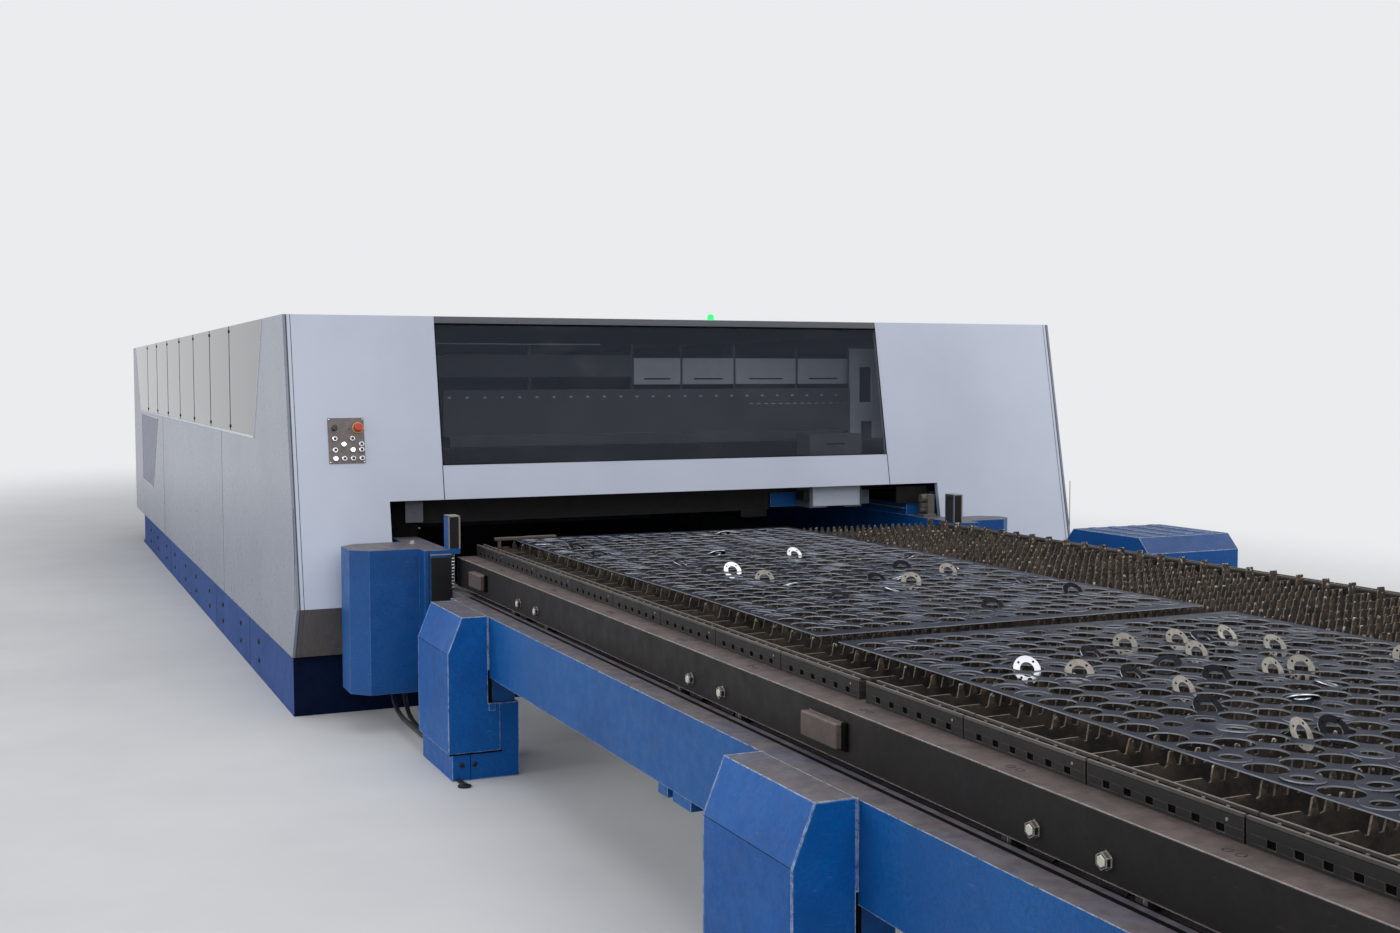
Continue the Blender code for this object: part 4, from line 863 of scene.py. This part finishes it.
def control_details():
    """The emergency stop's collar, the small lamp, the plate's screws and the buttons' faces."""
    pitch, first, top = 0.0413, 0.030, 0.0143
    collar, lamp, screws = shapes(3)
    profile = [(0.0262, 0.0038), (0.0266, 0.0098), (0.0240, 0.0112), (0.0215, 0.0108), (0.0215, 0.0096),
               (0.0255, 0.0090)]
    collar.turn(profile, wall_frame(first + 3 * pitch - 0.013, 0.048), 28, True)
    collar.done("stop_collar", yellow_look, "cabin", "red_plastic", smooth=True)
    base = wall_frame(first + 1.7 * pitch, 0.052)
    lamp.turn([(0.004, 0.0035), (0.004, 0.0058), (0.0025, 0.0068)], base, 12)
    lamp.done("plate_lamp", knob_look, "cabin", "black_rubber")
    rows = ((0.099, (0, 2)), (0.126, (1, 3)), (0.153, (0, 2, 3)), (0.194, (0, 1, 2, 3)))
    lit = (3, 6, 8)
    for number, (column, down) in enumerate(((c, down) for down, columns in rows for c in columns), 1):
        face = Shape()
        base = wall_frame(first + column * pitch, down)
        if number in lit:
            low, high = top - 0.001, top + 0.0012
            face.turn([(0.0062, low), (0.0098, low), (0.0098, high), (0.0062, high)], base, 20, True)
            face.done(f"button_glow_{number}", button_lit_look, f"button_{number}", "chrome", smooth=True)
        else:
            face.turn([(0.0072, top - 0.001), (0.0072, top + 0.0004), (0.0058, top + 0.0009)], base, 20)
            face.done(f"button_face_{number}", knob_look, f"button_{number}", "black_rubber", smooth=True)
    for x in (0.006, 0.164):
        for down in (0.006, 0.211):
            screws.turn([(0.0028, 0.0035), (0.0028, 0.0050), (0.0018, 0.0055)], wall_frame(x, down), 10)
    screws.done("plate_screws", chrome_look, "cabin", "chrome", smooth=True)


def side_box(shape, side, low_y, high_y, low_z, high_z, proud):
    """A flat piece on a side wall."""
    a, b = sorted((side * (SIDE_X - 0.001), side * (SIDE_X + proud)))
    shape.box((a, low_y, low_z), (b, high_y, high_z))


def side_windows(side, rails, bars, dots):
    """The sill, the sloped ends, and the mullions with their bolts on one side."""
    side_box(rails, side, SIDE_SILL_FRONT, SIDE_SILL_BACK, SIDE_SILL - 0.009, SIDE_SILL + 0.003, 0.004)
    a, b = sorted((side * (SIDE_X - 0.001), side * (SIDE_X + 0.002)))
    for top_y, low_y, wide in ((-0.115, SIDE_SILL_FRONT, 0.008), (8.225, SIDE_SILL_BACK, -0.008)):
        outline = [(top_y, ROOF), (top_y + wide, ROOF), (low_y + wide, SIDE_SILL), (low_y, SIDE_SILL)]
        rails.prism(outline, "x", a, b)
    panes = 8
    for number in range(1, panes):
        y = SIDE_SILL_FRONT + number * (SIDE_SILL_BACK - SIDE_SILL_FRONT) / panes
        side_box(bars, side, y - 0.005, y + 0.005, SIDE_SILL + 0.004, ROOF - 0.001, 0.0014)
        for z in (SIDE_SILL + 0.03, ROOF - 0.03):
            base = facing((side * (SIDE_X + 0.0005), y, z), side)
            dots.turn([(0.010, -0.001), (0.010, 0.003), (0.006, 0.005)], base, 12)


def side_details():
    """The windows' fittings and the seams on both side walls, and the bordered panel on the left one."""
    rails, bars, dots, seams, border, panel = shapes(6)
    for side in (-1, 1):
        side_windows(side, rails, bars, dots)
        for y in (5.45, 1.6):
            side_box(seams, side, y - 0.002, y + 0.002, SKIRT_BOTTOM + 0.001, SIDE_SILL - 0.009, 0.0008)
        side_box(seams, side, -0.975, -0.971, WALL_BREAK + 0.001, 1.0, 0.0008)
    outline = [(7.601, 1.272), (5.921, 1.256), (6.499, 0.618), (7.582, 0.629)]
    panel.prism(outline, "x", -SIDE_X - 0.0012, -SIDE_X + 0.001)
    for start, end in zip(outline, outline[1:] + outline[:1]):
        a, b = Vector(start), Vector(end)
        along = (b - a).normalized()
        across = Vector((-along.y, along.x)) * 0.010
        edge = [tuple(a), tuple(b), tuple(b + across), tuple(a + across)]
        border.prism(edge, "x", -SIDE_X - 0.003, -SIDE_X + 0.001)
    rails.done("side_sills", trim_look, "cabin", "white_paint")
    bars.done("side_mullions", dark_look, "cabin", "tinted_glass")
    dots.done("side_window_bolts", dark_look, "cabin", "tinted_glass", smooth=True)
    finish("cabin", "white_paint", ("side_seams", seams, seal_look), ("side_panel_border", border, trim_look),
           ("side_panel", panel, side_panel_look))


def plinth_details():
    """Seams and fixing bolts on the base ring."""
    face = 2.180
    seams, heads = shapes(2)
    for side in (-1, 1):
        a, b = sorted((side * (face - 0.001), side * (face + 0.0012)))
        for y in (0.6, 2.1, 3.6, 5.1, 6.6):
            seams.box((a, y - 0.003, 0.001), (b, y + 0.003, SKIRT_BOTTOM - 0.002))
            for offset in (-0.35, 0.35):
                for z in (0.09, 0.19):
                    heads.bolt((side * face, y + offset, z), (side, 0, 0), 0.011, 0.008)
    finish("cabin", "navy_paint", ("plinth_seams", seams, dark_look), ("plinth_bolts", heads, dark_look))


def post(side, front, faces, rims):
    """The black faces, ribs and worn rims of one post beside the mouth."""
    low_z, high_z = 0.836, 0.974
    a, b = table_span(1.392, 1.339, side)
    faces.box((a + 0.005, front - 0.002, low_z), (b - 0.008, front + 0.001, high_z))
    c, d = table_span(1.3395, 1.3375, side)
    faces.box((c, front + 0.006, low_z), (d, front + 0.074, high_z))
    for rib in range(7):
        y = front + 0.009 + rib * 0.0096
        faces.box((c - 0.0016, y, low_z + 0.002), (d + 0.0016, y + 0.0042, high_z - 0.002))
    for low, high in ((a, a + 0.004), (b - 0.007, b)):
        rims.box((low, front - 0.005, low_z - 0.003), (high, front + 0.001, high_z + 0.007))
    rims.box((a, front - 0.005, high_z + 0.002), (b, front + 0.082, high_z + 0.0075))


def tow_chain(side, front, links):
    """The end of the chain that tows the pallet, in its guide."""
    x = table_x(1.372, side)
    for number in range(14):
        y, z = front + 0.02 + 0.004 * (number % 2), 0.628 + number * 0.0145
        links.turn([(0.0052, -0.009), (0.0052, 0.009)], facing((x, y, z), 1), 8)
        for low, high in ((x - 0.011, x - 0.0085), (x + 0.0085, x + 0.011)):
            links.box((low, y - 0.0045, z - 0.006), (high, y + 0.0045, z + 0.0085))


def mouth_details():
    """Posts, guides, chains, seams and bolts beside the mouth, and the roller stand in it."""
    faces, rims, guides, links, seams, heads, stand = shapes(7)
    for side, reach in ((-1, 0.46), (1, 0.36)):
        front = FRONT_Y - reach
        post(side, front, faces, rims)
        tow_chain(side, front, links)
        a, b = table_span(1.479, 1.3850, side)
        guides.box((a, front - 0.024, 0.585), (b, front - 0.018, 0.800))
        rims.box((a, front - 0.024, 0.8095), (b, front - 0.001, 0.8125))
        seam = table_x(1.482, side)
        seams.box((seam - 0.002, front - 0.0008, 0.301), (seam + 0.002, front + 0.001, 0.829))
        heads.bolt((table_x(1.475, side), FRONT_Y - 0.12, 0.83), (0, 0, 1), 0.011, 0.012)
    stand.box((1.200, -0.985, 0.8285), (1.282, -0.905, 0.842))
    stand.box((1.235, -0.975, 0.840), (1.275, -0.915, 0.952))
    stand.box((1.205, -0.960, 0.880), (1.240, -0.930, 0.905))
    for z, radius in ((0.930, 0.022), (0.866, 0.014)):
        stand.turn([(radius, 0), (radius, 0.034), (radius * 0.5, 0.036)], facing((1.203, -0.945, z), 1), 18)
    finish("cabin", "blue_paint", ("guide_roller", stand, rim_look, 0.001),
           ("post_faces", faces, dark_look, 0.001), ("post_rims", rims, ring_tan_look, 0.001),
           ("guide_faces", guides, dark_look, 0.001), ("tow_chain", links, steel_look),
           ("gear_seams", seams, dark_look), ("gear_bolts", heads, bolt_look))


def passage_details():
    """The rack and rail lines along the girders, and the plates at the passage's front."""
    back = 7.3
    rack, plates, lines = shapes(3)
    for side in (-1, 1):
        low, high = table_span(1.384, 1.366, side)
        rack.box((low, -0.23, 0.872), (high, back, 0.892))
        for number in range(150):
            y = -0.23 + number * 0.05
            rack.box((low, y, 0.891), (high, y + 0.025, 0.899))
        low, high = table_span(1.3845, 1.3795, side)
        plates.box((low, -0.8345, 0.894), (high, back, 0.954))
        low, high = table_span(1.372, 1.362, side)
        lines.box((low, -0.8345, 0.866), (high, back, 0.8725))
    plates.box((1.105, -0.856, 0.900), (1.300, -0.8365, 0.992))
    finish("cabin", "blue_paint", ("rack", rack, rail_look), ("girder_plates", plates, trough_look, 0.001),
           ("girder_lines", lines, ring_tan_look, 0.001))
    boxes("mouth_side_plate", inner_look, "cabin", "grey_paint", 0.001,
          ((-1.641, -0.8565, 0.900), (-1.556, -0.8475, 1.006)))
    # Painted shade: a near-black plate in front of the bed's left end.
    boxes("bed_end_shade_plate", near_black_and_shade_look, "cabin", "black_rubber", 0.001,
          ((-1.722, -0.8470, 0.8315), (-1.580, -0.8380, 0.985)))


def trough_details():
    """What the gantry's trough and its carriage carry where they show in the mouth."""
    cover = Shape().prism([(-0.66, 0.886), (-0.66, 0.985), (-0.02, 0.985), (-0.02, 0.905)], "x", 0.97, 1.045)
    # The cover's darker white is painted shade.
    cover.done("gantry_end_cover", shaded_white_look, "gantry", "grey_paint", 0.004)
    outline = [(-0.832, 0.897), (-0.832, 1.012), (-0.826, 1.018), (-0.70, 1.018), (-0.70, 0.897)]
    case = Shape().prism(outline, "x", 0.595, 0.885)
    case.done("carriage_cover", white_look, "carriage", "grey_paint", 0.004)
    boxes("carriage_clip", dark_look, "carriage", "grey_paint", 0.002,
          ((0.545, -0.818, 0.930), (0.597, -0.72, 0.985)), ((0.555, -0.822, 0.945), (0.575, -0.81, 0.970)))
    boxes("gantry_blue_panel", blue_look, "gantry", "blue_paint", 0.001,
          ((0.416, -0.672, 0.890), (0.640, -0.664, 0.968)))
    boxes("trough_step", trough_look, "gantry", "grey_paint", 0.002,
          ((0.240, -0.674, 0.840), (0.392, -0.640, 0.879)), ((0.384, -0.674, 0.878), (0.405, -0.640, 0.968)))


def screen_details():
    """The perforated screen and the end plate with cut-outs on the gantry, seen through the window."""
    holes, plate = shapes(2)
    boxes("gantry_screen", inner_look, "gantry", "grey_paint", 0.002,
          ((-1.35, -0.60, GANTRY_LOW), (0.90, -0.44, 1.300)), ((-1.35, -0.475, 1.295), (1.02, -0.455, 1.535)))
    for count, left, pitch, wide, low, high in ((25, -1.326, 0.0938, 0.015, 1.492, 1.501),
                                                (14, 0.384, 0.0455, 0.024, 1.449, 1.4535)):
        for number in range(count):
            x = left + number * pitch
            holes.box((x, -0.4765, low), (x + wide, -0.4745, high))
    left, slot_left, slot_right, right, far = 1.028, 1.088, 1.171, 1.235, 1.268
    top, corner, slot_top, slot_low, cut_top = 1.761, 1.70, 1.655, 1.454, 1.345
    cut_left, cut_right = 1.10, 1.18
    left_part = [(left, GANTRY_LOW), (left, top), (slot_left, top), (slot_left, slot_top),
                 (slot_left, slot_low), (cut_left, cut_top), (cut_left, GANTRY_LOW)]
    top_part = [(slot_left, slot_top), (slot_left, top), (slot_right, top), (slot_right, slot_top)]
    right_part = [(slot_right, slot_top), (slot_right, top), (right, top), (far, corner), (far, GANTRY_LOW),
                  (cut_right, GANTRY_LOW), (cut_right, cut_top), (slot_right, slot_low)]
    low_part = [(slot_left, slot_low), (slot_right, slot_low), (cut_right, cut_top), (cut_left, cut_top)]
    for outline in (left_part, top_part, right_part, low_part):
        plate.prism(outline, "y", -0.47, -0.45)
    # The end plate's near-white is painted light.
    finish("gantry", "grey_paint", ("gantry_screen_holes", holes, steel_look),
           ("gantry_end_plate", plate, inside_painted_light_look, 0.001))


def chain_tray_details():
    """The cable chain's tray and band behind the screen."""
    tray, band, lines = shapes(3)
    tray.box((-1.45, -0.36, 1.60), (-0.27, -0.34, 1.72))
    for x in (-1.42, -0.85, -0.265, 0.024, 0.348, 0.74, 1.08):
        tray.box((x - 0.006, -0.356, GANTRY_LOW), (x + 0.006, -0.330, 1.778))
    for left, right in ((-0.258, 0.017), (0.031, 0.341), (0.355, 0.733), (0.747, 1.073)):
        band.box((left, -0.36, 1.560), (right, -0.345, 1.704))
        inset = (right - left) * 0.22
        lines.box((left + inset, -0.3612, 1.586), (right - inset, -0.3598, 1.594))
    band.box((-1.362, -0.357, 1.772), (-0.45, -0.350, 1.778))
    # The band's near-white is painted light.
    finish("gantry", "grey_paint", ("gantry_chain_tray", tray, inner_look, 0.002),
           ("gantry_chain_band", band, inside_painted_light_look, 0.001), ("gantry_chain_slots", lines, near_black_and_shade_look))


def lamp_details():
    """The lens of the signal lamp on the roof."""
    lens = [(0.0185, ROOF - 0.0005), (0.0185, ROOF + 0.0235), (0.0112, ROOF + 0.0330), (0.004, ROOF + 0.0345)]
    shape = Shape().turn(lens, Matrix.Translation((0.062, wall_y(ROOF) + 0.0803, 0)), 20)
    shape.done("signal_lamp_lens", lamp_look, "cabin", "white_paint", smooth=True)


def floor():
    """A pale floor that fades into the backdrop."""
    g = Graph("pale_floor")
    tone = g.mix(g.ramp(g.noise(0.6, 4.0), 0.35, 0.65), srgb(200, 200, 199), srgb(192, 192, 192))
    g.set(Base_Color=tone, Roughness=0.9)
    flat = g.node("ShaderNodeMapping", {"Vector": g.coord, "Scale": (1.0, 0.38, 0.0)}).outputs[0]
    away = g.node("ShaderNodeVectorMath", {0: flat}, operation="LENGTH").outputs["Value"]
    haze = g.node("ShaderNodeEmission", {"Color": BACKDROP, "Strength": 1.0}).outputs[0]
    share = g.times(g.ramp(away, 3.2, 9.0), g.seen())
    fade = g.node("ShaderNodeMixShader", {0: share, 1: g.shader.outputs[0], 2: haze}).outputs[0]
    g.put(g.tree.nodes["Material Output"].inputs["Surface"], fade)
    made = add_object("floor", Shape().box((-60, -60, -0.05), (60, 60, -0.0008)).mesh, g.material)


def studio():
    """A soft pale world that the camera, mirrors and glass see as the plain backdrop."""
    world = bpy.data.worlds.new("studio")
    bpy.context.scene.world = world
    world.use_nodes = True
    g = Nodes(world.node_tree)
    g.tree.nodes.clear()
    light = g.node("ShaderNodeBackground", {"Color": (0.86, 0.90, 1.0, 1.0), "Strength": 0.42}).outputs[0]
    pale = g.node("ShaderNodeBackground", {"Color": BACKDROP, "Strength": 1.0}).outputs[0]
    blend = g.node("ShaderNodeMixShader", {0: g.seen(), 1: light, 2: pale}).outputs[0]
    g.node("ShaderNodeOutputWorld", {"Surface": blend})


def lamp(name, place, target, size, power, colour=(1, 1, 1)):
    """A soft rectangular lamp that looks at a target."""
    data = bpy.data.lights.new(name, "AREA")
    data.shape = "RECTANGLE"
    data.size, data.size_y = size
    data.energy = power
    data.color = colour
    made = bpy.data.objects.new(name, data)
    bpy.context.scene.collection.objects.link(made)
    made.location = place
    made.rotation_euler = (Vector(target) - Vector(place)).to_track_quat("-Z", "Y").to_euler()


def camera():
    """The camera at the photograph's viewing angle."""
    data = bpy.data.cameras.new("camera")
    data.sensor_width = 36.0
    data.lens = 40.08
    data.clip_start, data.clip_end = 0.05, 200.0
    made = bpy.data.objects.new("camera", data)
    bpy.context.scene.collection.objects.link(made)
    made.location = (-3.392, -8.275, 1.6)
    yaw, pitch, roll = 24.021, 3.287, 0.109
    made.rotation_euler = (math.radians(90 - pitch), math.radians(roll), math.radians(-yaw))
    bpy.context.scene.camera = made
    bpy.context.scene.view_settings.view_transform = "Standard"


def stage():
    floor()
    studio()
    lamp("top_light", (0, -2, 9.5), (0, 0, 0), (10, 18), 620)
    lamp("left_light", (-10, 1, 5), (0, 0, 0.8), (14, 5), 520, (0.95, 0.98, 1.0))
    lamp("front_light", (-4, -15, 6), (0, -3, 0.8), (10, 5), 420)
    lamp("right_light", (9, -5, 5), (0, -2, 0.8), (8, 5), 260)
    camera()


def load():
    """The slats, their strips and the two sheets; the rings that stand up are given by column and row."""
    middle = (PALLET_REAR + PALLET_FRONT) / 2
    gap = 0.015
    rear = slats("slats_rear", middle + gap, PALLET_REAR, 11)
    front = slats("slats_front", PALLET_FRONT, middle - gap, 23)
    strips("strips_rear", middle + gap, PALLET_REAR)
    strips("strips_front", PALLET_FRONT, middle - gap)
    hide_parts("slat_bank_rear")
    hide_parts("slat_bank_front")
    rear_y = PALLET_REAR - 0.02 - SHEET_LENGTH
    front_y = rear_y - 0.12 - SHEET_LENGTH
    first = sheet("sheet_rear", rear_y, 5)
    bright, tan, dark = {(4, 15), (9, 19)}, {(4, 12), (9, 9), (12, 11)}, {(8, 10), (8, 2), (13, 4), (11, 13)}
    rings("sheet_rear", rear_y, 5, bright, tan, dark)
    second = sheet("sheet_front", front_y, 8)
    tan = {(7, 27), (3, 24), (4, 21), (9, 27), (11, 27), (8, 25), (11, 25), (8, 22), (9, 22), (3, 16), (13, 22)}
    rings("sheet_front", front_y, 8, {(2, 25)}, tan, {(3, 19), (4, 23), (4, 16), (6, 22), (5, 26)})
    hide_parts("cut_sheet_rear")
    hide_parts("cut_sheet_front")


def main():
    carry_over()
    stage()
    load()
    for details in (pallet_details, table_details, column_details, front_details, control_details,
                    side_details, plinth_details, mouth_details, passage_details, trough_details,
                    screen_details, chain_tray_details, lamp_details):
        details()


main()
